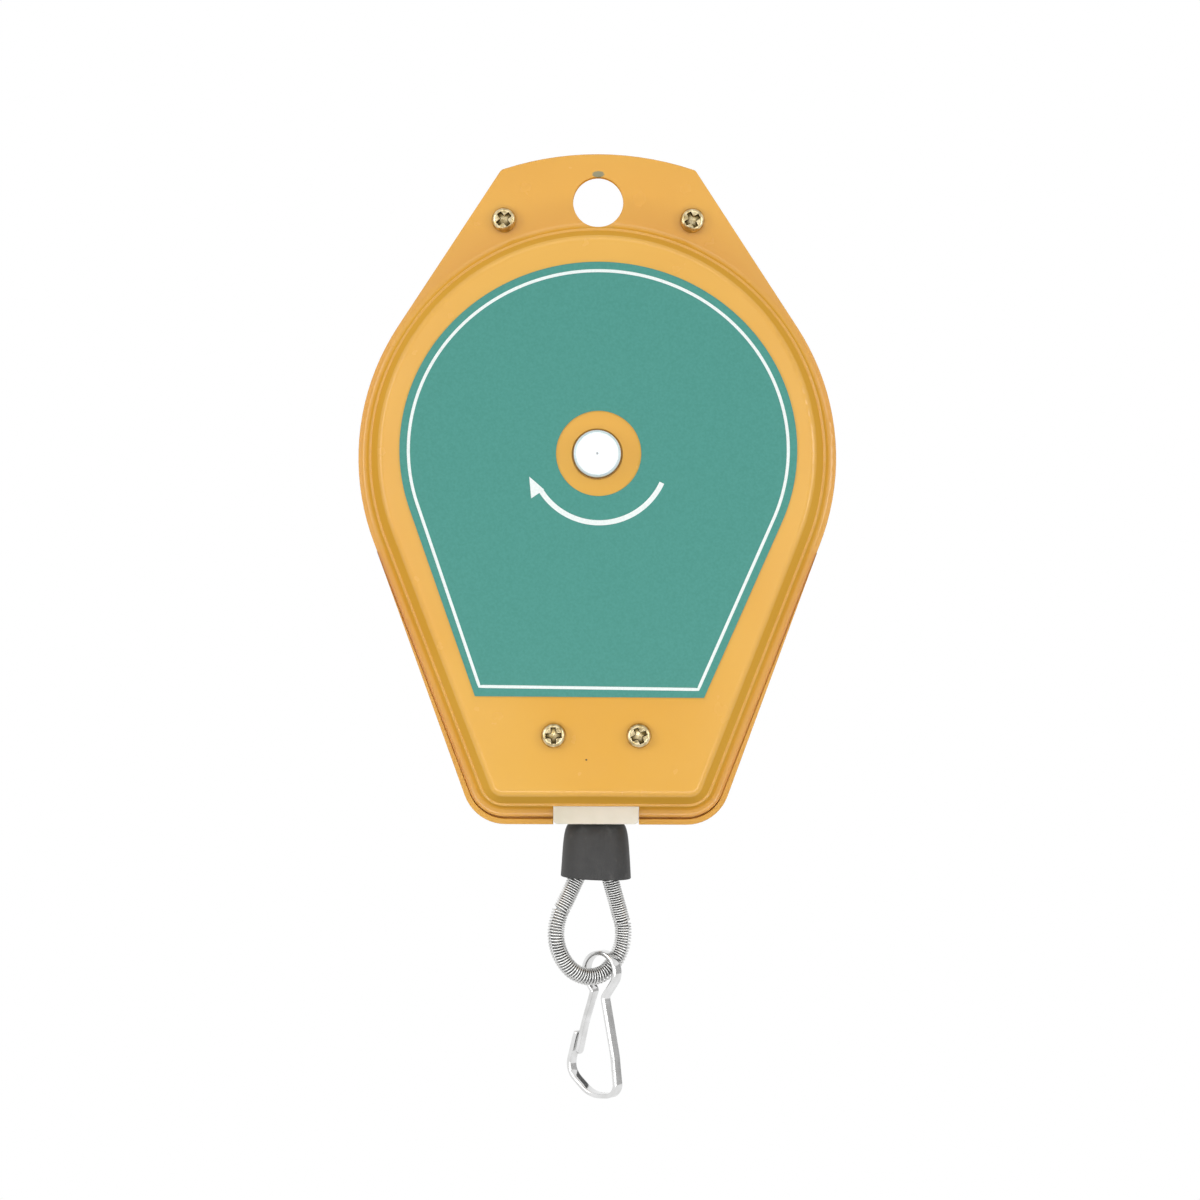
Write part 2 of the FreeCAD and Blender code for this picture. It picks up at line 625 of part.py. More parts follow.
rear_cover = pressed_cover("rear_cover", 1, "flange_width + rear_inset", "rear_foot")
sketch = new_sketch(rear_cover)
cover_outline(sketch, "0", "side_slope", "bottom_drop", "rim_corner")
pad(sketch, "lip_depth")
sketch = new_sketch(rear_cover)
cover_outline(sketch, "-lip_clearance", "front_slope", "(bottom_drop - sheet_metal - lip_clearance)")
pocket(sketch, "lip_depth", back=True)
cover_holes(rear_cover, "rear_ledge_drop")

# The rear cover also carries the riveted pin of the pawl
sketch = new_sketch(rear_cover)
circle(sketch, "pawl_x", "pawl_z - axis_drop", "pin_radius")
pocket(sketch)

# Label, a foil with an opening round the arbor

label_plate = new_body("label_plate")
sketch = new_sketch(label_plate, depth="half_depth")
casing_outline(sketch, "label_radius", "label_drop", "label_corner",
               "-(axis_drop + label_shift)", "label_slope")
circle(sketch, "0", "-axis_drop", "label_opening")
pad(sketch, "label_thickness")


# Screws and nuts of the casing

def casing_screws(label, across, drop, seat, length):
    """Two pan-head screws, mirrored; seat is the face under the head, in front of the joint."""
    body = new_body(label)
    sketch = new_sketch(body, depth="%s - %s" % (seat, length))
    circle(sketch, across, "-" + drop, "screw_radius")
    pad(sketch, length)
    sketch = new_sketch(body, depth=seat)
    circle(sketch, across, "-" + drop, "head_radius")
    pad(sketch, "head_height")
    crown = -size(seat) - size("head_height")
    fillet(body, lambda edge: flat_at(edge, crown), "head_round")
    for reach, width in (("recess_reach", "recess_width / 2"),
                         ("recess_width / 2", "recess_reach")):
        sketch = new_sketch(body, depth="%s + head_height" % seat)
        rectangle(sketch, "%s - %s" % (across, reach), "%s + %s" % (across, reach),
                  "-%s - %s" % (drop, width), "-%s + %s" % (drop, width))
        pocket(sketch, "recess_depth")
    mirror(body)
    return body


def casing_nuts(label, across, drop, seat):
    """Two hexagon nuts behind the rear cover."""
    body = new_body(label)
    sketch = new_sketch(body, depth="-" + seat)
    corner = "(nut_flats / 2 / cos(30))"
    polygon(sketch, [("%s + %s * %s" % (across, corner, cosine),
                      "-%s + %s * %s" % (drop, corner, sine))
                     for cosine, sine in (("1", "0"), ("0.5", "sin(60)"), ("-0.5", "sin(60)"),
                                          ("-1", "0"), ("-0.5", "-sin(60)"),
                                          ("0.5", "-sin(60)"))])
    circle(sketch, across, "-" + drop, "screw_radius")
    pad(sketch, "nut_height", back=True)
    mirror(body)
    return body


casing_screws("top_screws", "top_screw_x", "top_screw_drop", "sheet_metal",
              "(2 * sheet_metal + nut_height + thread_end)")
casing_screws("bottom_screws", "bottom_screw_x", "bottom_screw_drop", "half_depth",
              "(2 * half_depth + nut_height + thread_end)")
casing_nuts("top_nuts", "top_screw_x", "top_screw_drop", "sheet_metal")
casing_nuts("bottom_nuts", "bottom_screw_x", "bottom_screw_drop", "half_depth")


# Cable guide, a moulded block that the lower screws hold between the covers

cable_guide = new_body("cable_guide")
sketch = new_sketch(cable_guide)
rectangle(sketch, "-guide_half_width", "guide_half_width", "-guide_shoulder",
          "-guide_top_drop")
pad(sketch, "2 * nose_half_depth", both=True)
sketch = new_sketch(cable_guide)
rectangle(sketch, "guide_side_gap - notch_width / 2", "notch_width / 2 - guide_side_gap",
          "-guide_nose_drop", "-guide_top_drop")
pad(sketch, "2 * nose_half_depth", both=True)
sketch = new_sketch(cable_guide)
for side in ("", "-"):
    circle(sketch, side + "bottom_screw_x", "-bottom_screw_drop", "boss_radius")
pad(sketch, "2 * inner_depth", both=True)
sketch = new_sketch(cable_guide)
for side in ("", "-"):
    circle(sketch, side + "bottom_screw_x", "-bottom_screw_drop", "screw_hole")
pocket(sketch)
sketch = new_sketch(cable_guide)
polygon(sketch, [("-guide_bore - guide_flare * (bend_drop - guide_top_drop)", "-guide_top_drop"),
                 ("guide_bore", "-guide_top_drop"),
                 ("guide_bore", "-bend_drop"), ("-guide_bore", "-bend_drop")])
pocket(sketch, "2 * guide_bore", both=True)
sketch = new_sketch(cable_guide, "XY_Plane", "-guide_nose_drop")
circle(sketch, "0", "0", "guide_bore")
pocket(sketch, "guide_nose_drop - bend_drop + guide_bore", back=True)
nose = -size("guide_nose_drop")
fillet(cable_guide, lambda edge: abs(edge.BoundBox.ZMax - nose) < 0.01
       and edge.BoundBox.XLength < 2.1 * size("guide_bore"), "guide_mouth_round")


# Arbor with its bushes, spacer, rings and washers

def ring(label, inner, outer, front, rear):
    """A ring about the arbor between two distances from the joint face, rear side positive."""
    body = new_body(label, at_axis=True)
    add_ring(body, inner, outer, front, rear)
    return body


def add_ring(body, inner, outer, front, rear):
    sketch = new_sketch(body, "YZ_Plane")
    rectangle(sketch, front, rear, inner, outer)
    return revolve(sketch)


ring("front_bush", "arbor_bore", "bush_radius", "-inner_depth",
     "bush_thickness - inner_depth")
ring("rear_bush", "arbor_bore", "bush_radius", "inner_depth - bush_thickness", "inner_depth")
ring("wheel_spacer", "arbor_bore", "washer_radius", "half_depth", "wheel_front")

arbor = ring("arbor", "0", "arbor_radius", "-half_depth - arbor_proud", "arbor_rear")
for front, rear in (("-clip_face", "clip_thickness - clip_face"),
                    ("clip_face - clip_thickness", "clip_face"),
                    ("wheel_rear", "wheel_rear + clip_thickness")):
    sketch = new_sketch(arbor, "YZ_Plane")
    rectangle(sketch, front, rear, "arbor_radius - groove_depth", "arbor_radius + cut_past")
    groove(sketch)
sketch = new_sketch(arbor, depth="-wheel_front")
circle(sketch, "0", "0", "arbor_radius + cut_past")
rectangle(sketch, "-key_flats / 2", "key_flats / 2", "-key_flats / 2", "key_flats / 2")
pocket(sketch, "arbor_rear - wheel_front + cut_past", back=False)
sketch = new_sketch(arbor)
rectangle(sketch, "-spring_strip / 2 - end_play / 2", "spring_strip / 2 + end_play / 2",
          "arbor_radius - spring_tab", "arbor_radius + cut_past")
pocket(sketch, "2 * (spring_half_width + end_play)", both=True)
front_end = -size("half_depth + arbor_proud")
rear_end = size("arbor_rear")
chamfer(arbor, lambda edge: flat_at(edge, front_end) or flat_at(edge, rear_end),
        "arbor_chamfer")

arbor_clips = new_body("arbor_clips", at_axis=True)
for front in ("clip_face", "(clip_thickness - clip_face)",
              "(-wheel_rear)"):
    sketch = new_sketch(arbor_clips, depth=front + " - clip_thickness")
    circle(sketch, "0", "0", "clip_radius")
    circle(sketch, "0", "0", "arbor_radius - groove_depth")
    pad(sketch, "clip_thickness")
sketch = new_sketch(arbor_clips)
rectangle(sketch, "-clip_opening / 2", "clip_opening / 2", "-clip_radius - cut_past", "0")
pocket(sketch)

thrust_washers = ring("thrust_washers", "arbor_bore", "washer_radius",
                      "-reel_half - reel_bush_lip - end_play - washer_thickness",
                      "-reel_half - reel_bush_lip - end_play")
mirror(thrust_washers, "XZ_Plane")


# Ratchet wheel and pawl behind the rear cover
# Seen from the front the arbor may only turn clockwise, which winds the spring tighter.

ratchet_wheel = new_body("ratchet_wheel", at_axis=True)
sketch = new_sketch(ratchet_wheel, depth="-wheel_rear")
circle(sketch, "0", "0", "wheel_root")
pad(sketch, "wheel_thickness")
sketch = new_sketch(ratchet_wheel, depth="-wheel_rear")
polygon(sketch, [("wheel_root - cut_past", "0"), ("wheel_tip", "0"),
                 ("wheel_root * cos(360 / wheel_teeth)", "-wheel_root * sin(360 / wheel_teeth)"),
                 ("(wheel_root - cut_past) * cos(360 / wheel_teeth)",
                  "(1 - wheel_root) * sin(360 / wheel_teeth)")])
tooth = pad(sketch, "wheel_thickness")
polar(tooth, "wheel_teeth")
sketch = new_sketch(ratchet_wheel)
rectangle(sketch, "-key_flats / 2 - running_clearance", "key_flats / 2 + running_clearance",
          "-key_flats / 2 - running_clearance", "key_flats / 2 + running_clearance")
pocket(sketch)

pawl = new_body("pawl", at_axis=True)
sketch = new_sketch(pawl, depth="-wheel_rear")
polygon(sketch, [("wheel_root + pawl_heel", "pawl_heel / 3"),
                 ("wheel_tip + pawl_heel", "pawl_heel / 3"),
                 ("pawl_x + pawl_boss * cos(20)", "pawl_z - pawl_boss * sin(20)"),
                 ("pawl_x - pawl_boss * cos(20)", "pawl_z - pawl_boss * sin(20)"),
                 ("wheel_tip - pawl_heel", "wheel_tip / 4")])
pad(sketch, "wheel_thickness")
sketch = new_sketch(pawl, depth="-wheel_rear")
circle(sketch, "pawl_x", "pawl_z", "pawl_boss")
pad(sketch, "wheel_thickness")
sketch = new_sketch(pawl)
circle(sketch, "pawl_x", "pawl_z", "pin_radius + running_clearance")
pocket(sketch)

pawl_pin = new_body("pawl_pin", at_axis=True)
for front, rear, radius in (("inner_depth", "wheel_rear + end_play", "pin_radius"),
                            ("half_depth", "wheel_front - end_play", "pin_head"),
                            ("wheel_rear + end_play", "wheel_rear + end_play + pin_cap",
                             "pin_head")):
    sketch = new_sketch(pawl_pin, depth="-(%s)" % rear)
    circle(sketch, "pawl_x", "pawl_z", radius)
    pad(sketch, "%s - (%s)" % (rear, front))

# Reel: a pot for the spring with two flanges for the rope, closed by a cover

reel = new_body("reel", at_axis=True)
sketch = new_sketch(reel, "YZ_Plane")
polygon(sketch, [("-reel_half", "bush_seat"), ("-reel_half", "drum_radius"),
                 ("-flange_face", "drum_radius"), ("-flange_face", "flange_radius"),
                 ("-groove_half", "flange_radius"), ("-groove_half", "drum_radius"),
                 ("groove_half", "drum_radius"), ("groove_half", "flange_radius"),
                 ("flange_face", "flange_radius"), ("flange_face", "drum_radius"),
                 ("chamber_half", "drum_radius"), ("chamber_half", "chamber_radius"),
                 ("-chamber_half", "chamber_radius"), ("-chamber_half", "bush_seat")])
revolve(sketch)

sketch = new_sketch(reel, depth="-chamber_half")
circle(sketch, "screw_circle", "0", "reel_screw_radius")
polar(pocket(sketch, "reel_screw_length", back=True), "reel_screws")
sketch = new_sketch(reel, depth="-flange_face")
circle(sketch, "-drum_radius - anchor_radius", "0", "rope_radius + running_clearance")
pocket(sketch, "flange_thickness", back=True)

reel_cover = new_body("reel_cover", at_axis=True)
sketch = new_sketch(reel_cover, depth="-reel_half")
circle(sketch, "0", "0", "drum_radius")
circle(sketch, "0", "0", "bush_seat")
pad(sketch, "web_thickness")
sketch = new_sketch(reel_cover, depth="-reel_half")
circle(sketch, "screw_circle", "0", "reel_screw_radius")
polar(pocket(sketch, "web_thickness", back=True), "reel_screws")

reel_cover_screws = new_body("reel_cover_screws", at_axis=True)
sketch = new_sketch(reel_cover_screws, depth="-reel_half")
circle(sketch, "screw_circle", "0", "reel_screw_radius")
pad(sketch, "web_thickness + reel_screw_length - end_play")
sketch = new_sketch(reel_cover_screws, depth="-reel_half - reel_screw_lift")
circle(sketch, "screw_circle", "0", "reel_screw_head")
polar(pad(sketch, "reel_screw_lift"), "reel_screws", whole=True)

reel_bushes = ring("reel_bushes", "arbor_bore", "reel_bush_radius", "-reel_half",
                   "-chamber_half")
add_ring(reel_bushes, "arbor_bore", "reel_bush_flange", "-reel_half - reel_bush_lip",
         "-reel_half")
mirror(reel_bushes, "XZ_Plane")

rope_winding = new_body("rope_winding", at_axis=True)
sketch = new_sketch(rope_winding, "YZ_Plane")
polygon(sketch, [("-winding_half", "drum_radius"), ("winding_half", "drum_radius"),
                 ("winding_half", "winding_edge"), ("winding_half - rope_radius", "winding_radius"),
                 ("rope_radius - winding_half", "winding_radius"),
                 ("-winding_half", "winding_edge")])
revolve(sketch)

rope_anchor = new_body("rope_anchor", at_axis=True)
for front, rear, radius in (("winding_half", "flange_face", "rope_radius"),
                            ("flange_face", "(flange_face + anchor_length)",
                             "anchor_radius")):
    sketch = new_sketch(rope_anchor, depth="-" + rear)
    circle(sketch, "-drum_radius - anchor_radius", "0", radius)
    pad(sketch, "%s - %s" % (rear, front))


# Rubber stopper and the ferrule swaged on the rope inside it

stopper = new_body("stopper")
sketch = new_sketch(stopper)
polygon(sketch, [("stopper_bore", "-stopper_crown"), ("stopper_top", "-stopper_crown"),
                 ("stopper_foot", "-stopper_base"), ("pocket_radius", "-stopper_base"),
                 ("ferrule_radius", "-ferrule_base"), ("ferrule_radius", "-ferrule_head"),
                 ("stopper_bore", "-ferrule_head")])
revolve(sketch, "V_Axis")
crown = -size("stopper_crown")
fillet(stopper, lambda edge: abs(edge.BoundBox.ZMin - crown) < 0.01
       and abs(edge.BoundBox.ZMax - crown) < 0.01
       and edge.BoundBox.XLength > size("stopper_top"), "stopper_round")

ferrule = new_body("ferrule")
sketch = new_sketch(ferrule, "XY_Plane", "-ferrule_base")
circle(sketch, "0", "0", "ferrule_radius")
pad(sketch, "ferrule_height")

# Rope, spring, pawl spring and snap hook are swept or bent from one strip or wire, so their
# shapes are made straight from a centre line.

def formed(label, shape, turn="0", lift="0"):
    """A piece whose shape is set here, turned about +Z and moved up."""
    piece = doc.addObject("Part::Feature", label)
    piece.Label = label
    piece.Shape = shape
    piece.Placement = FreeCAD.Placement(Vector(0, 0, size(lift)),
                                        FreeCAD.Rotation(Vector(0, 0, 1), size(turn)))
    PIECES.append(piece)
    return piece


def bent_line(corners):
    """A line in the XZ plane through corners, each an (x, z, bend radius)."""
    points = [Vector(x, 0, z) for x, z, bend in corners]
    edges = []
    start = points[0]
    for index in range(1, len(points) - 1):
        before, corner, after = points[index - 1:index + 2]
        into = (before - corner).normalize()
        out = (after - corner).normalize()
        half = math.acos(max(-1.0, min(1.0, into.dot(out)))) / 2
        reach = corners[index][2] / math.tan(half)
        middle = (into + out).normalize()
        arc_start, arc_end = corner + into * reach, corner + out * reach
        arc_middle = corner + middle * (corners[index][2] / math.sin(half) - corners[index][2])
        if (arc_start - start).Length > 1e-6:
            edges.append(Part.LineSegment(start, arc_start).toShape())
        edges.append(Part.Arc(arc_start, arc_middle, arc_end).toShape())
        start = arc_end
    if (points[-1] - start).Length > 1e-6:
        edges.append(Part.LineSegment(start, points[-1]).toShape())
    return edges


def tube(edges, outer, inner=0.0):
    """A round bar or tube along a smooth line of edges."""
    path = Part.Wire(edges)
    start = edges[0].valueAt(edges[0].FirstParameter)
    along = edges[0].tangentAt(edges[0].FirstParameter)
    solids = [path.makePipeShell([Part.Wire(Part.makeCircle(radius, start, along))], True, False)
              for radius in (outer, inner) if radius]
    shape = Part.Solid(solids[0])
    if inner:
        shape = shape.cut(Part.Solid(solids[1]))
    area = math.pi * (outer ** 2 - inner ** 2)
    if abs(shape.Volume / (area * path.Length) - 1) > 0.01:
        raise ValueError("a tube does not fill its path")
    return shape


def strip(edges, thickness, width):
    """A flat strip bent along a line in the XZ plane, with round ends."""
    outline = Part.Wire(edges).makeOffset2D(thickness / 2, fill=False)
    face = Part.Face(outline)
    face.translate(Vector(0, -width / 2, 0))
    return face.extrude(Vector(0, width, 0))


rope_radius = size("rope_radius")
axis = Vector(0, 0, -size("axis_drop"))

# Rope from the drum to the guide: round the drum, straight across, and round the guide bend
leave, bend = size("leaving_radius"), size("guide_bend")
bend_middle = Vector(-bend, 0, -size("bend_drop"))
between = bend_middle - axis
cross = math.asin((leave + bend) / between.Length) - math.atan2(-between.x, -between.z)
outward = Vector(-math.cos(cross), 0, -math.sin(cross))
wrap = math.radians(size("wrap_angle"))


def about(middle, radius, angle):
    """A point on a circle, by its angle up from the leaving direction."""
    turned = math.atan2(outward.z, outward.x) - angle
    return middle + Vector(math.cos(turned), 0, math.sin(turned)) * radius


drum_leave = axis + outward * leave
guide_meet = bend_middle - outward * bend
bend_share = (math.pi / 2 - cross) / 2
guide_half = bend_middle + Vector(math.cos(bend_share), 0, math.sin(bend_share)) * bend
lead = [Part.Arc(about(axis, leave, wrap), about(axis, leave, wrap / 2), drum_leave).toShape(),
        Part.LineSegment(drum_leave, guide_meet).toShape(),
        Part.Arc(guide_meet, guide_half, Vector(0, 0, bend_middle.z)).toShape(),
        Part.LineSegment(Vector(0, 0, bend_middle.z), Vector(0, 0, -size("span_top"))).toShape()]
formed("rope_lead", tube(lead, rope_radius))

span_top, span_end = -size("span_top"), -size("ferrule_head")
formed("rope_span", Part.makeCylinder(rope_radius, span_top - span_end, Vector(0, 0, span_end)))

# Rope loop below the ferrule, and the wound sheath that covers it
leg, broad = size("leg_spacing"), size("loop_radius")
shoulder, low = -size("loop_shoulder_drop"), -size("loop_bottom_drop")
ferrule_foot = -size("ferrule_base")
knee = ferrule_foot - size("leg_straight")


def loop_line(start):
    """One leg, the round bottom and the other leg, from a start point on the left leg."""
    left = start + [(-broad, shoulder, broad), (-broad, low + broad, 0)]
    right = [(-x, z, radius) for x, z, radius in reversed(left)]
    bottom = Part.Arc(Vector(-broad, 0, low + broad), Vector(0, 0, low),
                      Vector(broad, 0, low + broad)).toShape()
    return bent_line(left) + [bottom] + bent_line(right)


formed("rope_loop", tube(loop_line([(-leg, ferrule_foot, 0), (-leg, knee, size("leg_bend"))]),
                         rope_radius), turn="loop_twist")
sheath_top = -size("stopper_base - sheath_lap")
lean = (broad - leg) / (knee - shoulder)
formed("loop_sheath", tube(loop_line([(-leg - (knee - sheath_top) * lean, sheath_top, 0)]),
                           size("sheath_radius"), size("sheath_bore")), turn="loop_twist")

# Spiral spring from the slot of the arbor to the wall of the chamber, in half turns
thickness = size("spring_strip")
first = size("arbor_radius") + thickness
last = size("chamber_radius") - size("spring_seat") - thickness / 2
half_turns = 2 * int(size("spring_turns"))
growth = (last - first) / half_turns
outer_edges, inner_edges = [], []
for number in range(half_turns):
    upward = 1 if number % 2 == 0 else -1
    near, far = first + growth * number, first + growth * (number + 1)
    middle, radius = upward * (near - far) / 2, (near + far) / 2
    for edges, offset in ((outer_edges, thickness / 2), (inner_edges, -thickness / 2)):
        r = radius + offset
        edges.append(Part.Arc(Vector(0, 0, middle + upward * r),
                              Vector(-upward * r, 0, middle),
                              Vector(0, 0, middle - upward * r)).toShape())
top, bottom = Vector(0, 0, last + thickness / 2), Vector(0, 0, last - thickness / 2)
start_out = Vector(0, 0, first + thickness / 2)
start_in = Vector(0, 0, first - thickness / 2)
outline = Part.Wire(outer_edges + [Part.LineSegment(top, bottom).toShape()]
                    + inner_edges[::-1] + [Part.LineSegment(start_in, start_out).toShape()])
strip_face = Part.Face(outline)
half_width = size("spring_half_width")
strip_face.translate(Vector(0, -half_width, 0))
spiral = strip_face.extrude(Vector(0, 2 * half_width, 0))
tab_foot = size("arbor_radius - spring_tab + end_play")
tab = Part.makeBox(thickness, 2 * half_width, first + thickness / 2 - tab_foot,
                   Vector(-thickness / 2, -half_width, tab_foot))
formed("main_spring", spiral.fuse(tab).removeSplitter(), lift="-axis_drop")

# Leaf spring of the pawl, riveted to the rear cover
leaf_x = size("wheel_tip + pawl_heel + leaf_thickness + leaf_off")
leaf_line = bent_line([(size("leaf_foot_x"), size("leaf_foot_z"), 0),
                       (leaf_x, 0.0, size("leaf_bend")),
                       (leaf_x, size("leaf_rise"), 0)])
leaf = strip(leaf_line, size("leaf_thickness"), size("wheel_thickness"))
leaf.translate(Vector(0, size("wheel_front + wheel_thickness / 2"), 0))
foot_plate = Part.makeBox(size("leaf_foot"), size("wheel_rear") - size("half_depth"),
                          size("leaf_foot"),
                          Vector(size("leaf_foot_x - leaf_foot / 2"), size("half_depth"),
                                 size("leaf_foot_z - leaf_foot")))
formed("pawl_spring", leaf.fuse(foot_plate), lift="-axis_drop")

# Snap hook, one strip bent from the nose round the bow and up to the eye, with a springy gate
eye, metal = size("eye_radius"), size("strip_thickness")
neck = Vector(size("neck_across"), 0, -size("neck_below"))
root = Vector(-size("root_across"), 0, -size("root_below"))


def on_eye(point, side):
    """Where a line from that point touches the eye, on its right (1) or its left (-1)."""
    angle = math.atan2(point.z, point.x) + side * math.acos(eye / point.Length)
    return Vector(eye * math.cos(angle), 0, eye * math.sin(angle))


right_touch, left_touch = on_eye(neck, 1), on_eye(root, -1)
eye_end = root + (left_touch - root).normalize() * (metal + size("root_gap"))
hook_line = bent_line([
    (-size("nose_across"), -size("nose_below"), 0),
    (-size("bow_left"), -size("bow_left_below"), size("bow_left_bend")),
    (-size("bow_bottom"), -size("bow_bottom_below"), size("bow_bottom_bend")),
    (size("bow_right"), -size("bow_right_below"), size("bow_right_bend")),
    (size("spine_across"), -size("spine_below"), size("spine_bend")),
    (neck.x, neck.z, size("neck_bend")),
    (right_touch.x, right_touch.z, 0)])
hook_line += [Part.Arc(right_touch, Vector(0, 0, eye), left_touch).toShape(),
              Part.LineSegment(left_touch, eye_end).toShape()]
gate_end = Vector(-size("gate_across"), 0, -size("gate_below"))
gate_way = gate_end - root
outside = Vector(gate_way.z, 0, -gate_way.x).normalize()
belly = root + gate_way * 0.5 + outside * size("gate_belly")
gate_line = bent_line([(root.x, root.z, 0), (belly.x, belly.z, size("gate_bend")),
                       (gate_end.x, gate_end.z, 0)])
for label, line, width in (("hook_body", hook_line, "strip_width"),
                           ("hook_gate", gate_line, "gate_width")):
    bent = strip(line, metal, size(width))
    bent.translate(Vector(size("hook_across"), size("hook_behind"), 0))
    formed(label, bent, turn="hook_turn", lift="-eye_drop")

# Every feature and every piece has to be sound before anything is written
doc.recompute()
for part in doc.Objects:
    if "Invalid" in part.State or "Error" in part.State:
        raise ValueError("%s could not be made" % part.Name)
for piece in PIECES:
    if piece.Shape.isNull() or not piece.Shape.isValid() or not piece.Shape.Solids:
        raise ValueError("%s has no sound solid" % piece.Label)
os.makedirs("parts", exist_ok=True)
for piece in PIECES:
    piece.Shape.exportStep("parts/%s.step" % piece.Label)
print(len(PIECES), "pieces")
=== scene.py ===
import json
import math

import bmesh
import bpy
import numpy as np
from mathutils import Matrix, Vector


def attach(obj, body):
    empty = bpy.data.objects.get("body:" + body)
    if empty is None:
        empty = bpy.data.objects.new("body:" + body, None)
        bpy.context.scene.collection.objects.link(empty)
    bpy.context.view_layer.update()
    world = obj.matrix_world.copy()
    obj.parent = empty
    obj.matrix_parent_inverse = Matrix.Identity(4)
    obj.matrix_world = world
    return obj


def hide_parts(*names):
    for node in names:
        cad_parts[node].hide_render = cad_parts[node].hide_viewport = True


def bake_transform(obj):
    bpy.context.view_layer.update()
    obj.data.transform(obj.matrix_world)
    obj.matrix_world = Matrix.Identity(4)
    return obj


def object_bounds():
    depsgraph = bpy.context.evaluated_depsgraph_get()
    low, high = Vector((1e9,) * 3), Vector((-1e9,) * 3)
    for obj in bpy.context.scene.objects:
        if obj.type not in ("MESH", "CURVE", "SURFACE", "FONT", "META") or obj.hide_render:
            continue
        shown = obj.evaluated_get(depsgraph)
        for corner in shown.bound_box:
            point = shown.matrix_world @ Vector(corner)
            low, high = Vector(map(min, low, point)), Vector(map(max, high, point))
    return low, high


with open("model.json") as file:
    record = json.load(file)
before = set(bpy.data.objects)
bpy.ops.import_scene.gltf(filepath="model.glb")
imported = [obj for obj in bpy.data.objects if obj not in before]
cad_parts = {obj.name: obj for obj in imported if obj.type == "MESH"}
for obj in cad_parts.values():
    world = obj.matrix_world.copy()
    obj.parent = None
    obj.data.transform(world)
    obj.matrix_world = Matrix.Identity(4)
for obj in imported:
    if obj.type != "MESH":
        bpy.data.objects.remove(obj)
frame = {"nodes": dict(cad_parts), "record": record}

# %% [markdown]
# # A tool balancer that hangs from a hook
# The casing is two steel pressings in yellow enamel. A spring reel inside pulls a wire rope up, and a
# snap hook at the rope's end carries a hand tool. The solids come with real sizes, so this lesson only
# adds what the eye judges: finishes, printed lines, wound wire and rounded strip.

MM = 0.001
nodes = frame["nodes"]
cad_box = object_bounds()
print("solids:", len(nodes), "lowest and highest corner:", cad_box)

# %% [markdown]
# ## Looking at it as the photograph does
# The photograph is taken straight from the front at about two thirds of a metre, so the depth of the
# casing still shows a little at its edges. The lens is worked out from the width that the frame covers
# at the joint of the casing.

# %% Camera
CAMERA_DISTANCE = 650 * MM
FRAME_WIDTH = 263.2 * MM
FRAME_CENTRE = (0.7 * MM, -87.1 * MM)
CAMERA_ROLL = -0.2

camera_data = bpy.data.cameras.new("camera")
camera = bpy.data.objects.new("camera", camera_data)
bpy.context.scene.collection.objects.link(camera)
camera.location = (FRAME_CENTRE[0], -CAMERA_DISTANCE, FRAME_CENTRE[1])
camera.rotation_euler = (math.radians(90), math.radians(CAMERA_ROLL), 0)
camera_data.lens = camera_data.sensor_width * CAMERA_DISTANCE / FRAME_WIDTH
camera_data.clip_start = 0.01
bpy.context.scene.camera = camera
bpy.context.scene.view_settings.view_transform = "Standard"
print("lens in millimetres:", round(camera_data.lens, 1))

# %% [markdown]
# ## Colours and nodes
# Colours are written as they look on a screen. Shading works in linear light, so one function turns
# them over. Every material is a small net of nodes, and one function adds any kind of node, because
# the steps are always the same: set its properties, fill its inputs, join it to what comes before.

# %% Linear colour
def linear(hex_colour):
    """An sRGB hex colour as the linear colour that shading needs."""
    parts = [int(hex_colour[i:i + 2], 16) / 255 for i in (0, 2, 4)]
    return [c / 12.92 if c <= 0.04045 else ((c + 0.055) / 1.055) ** 2.4 for c in parts] + [1]


print("mid grey in linear light:", round(linear("808080")[0], 3))

# %% Nodes
def join(tree, node, links):
    """Links inputs of a node, each to a socket or to the first output of another node."""
    for socket, source in dict(links).items():
        output = source.outputs[0] if isinstance(source, bpy.types.Node) else source
        tree.links.new(output, node.inputs[socket])


def add_node(tree, kind, values=(), links=(), stops=(), **settings):
    """A node of that kind: settings are its properties, values and links go to its inputs, and stops
    are the positions and hex colours along a colour ramp."""
    node = tree.nodes.new(kind)
    for name, value in settings.items():
        setattr(node, name, value)
    for socket, value in dict(values).items():
        node.inputs[socket].default_value = value
    for _ in stops[2:]:
        node.color_ramp.elements.new(0.5)
    for place, (position, colour) in enumerate(stops):
        element = node.color_ramp.elements[place]
        element.position, element.color = position, linear(colour)
    join(tree, node, links)
    return node


def new_material(name, **values):
    """A material with one principled shader, and its tree, shader and object coordinates in metres."""
    material = bpy.data.materials.new(name)
    material.use_nodes = True
    tree = material.node_tree
    shader = tree.nodes["Principled BSDF"]
    for socket, value in values.items():
        shader.inputs[socket.replace("_", " ")].default_value = value
    place = add_node(tree, "ShaderNodeTexCoord").outputs["Object"]
    return material, tree, shader, place


print("kinds of node to choose from:", sum(kind.startswith("ShaderNode") for kind in dir(bpy.types)))

# %% [markdown]
# ## Yellow enamel on pressed steel
# The covers are stamped from sheet, sprayed and stoved. Enamel is a dielectric, so metallic stays 0,
# its IOR is 1.5 and the gloss comes from a low roughness. Thick enamel pulls into an orange peel with
# lumps about a millimetre apart, and it rounds every edge, which a bevel node shows. The drawn walls
# keep their full colour where a plain shader would mirror the pale room at that low angle, so the
# gloss fades as the surface turns away from the eye. Used enamel has flaws. A flaw is a ragged spot
# of another colour: a distance from its middle, made uneven by noise.

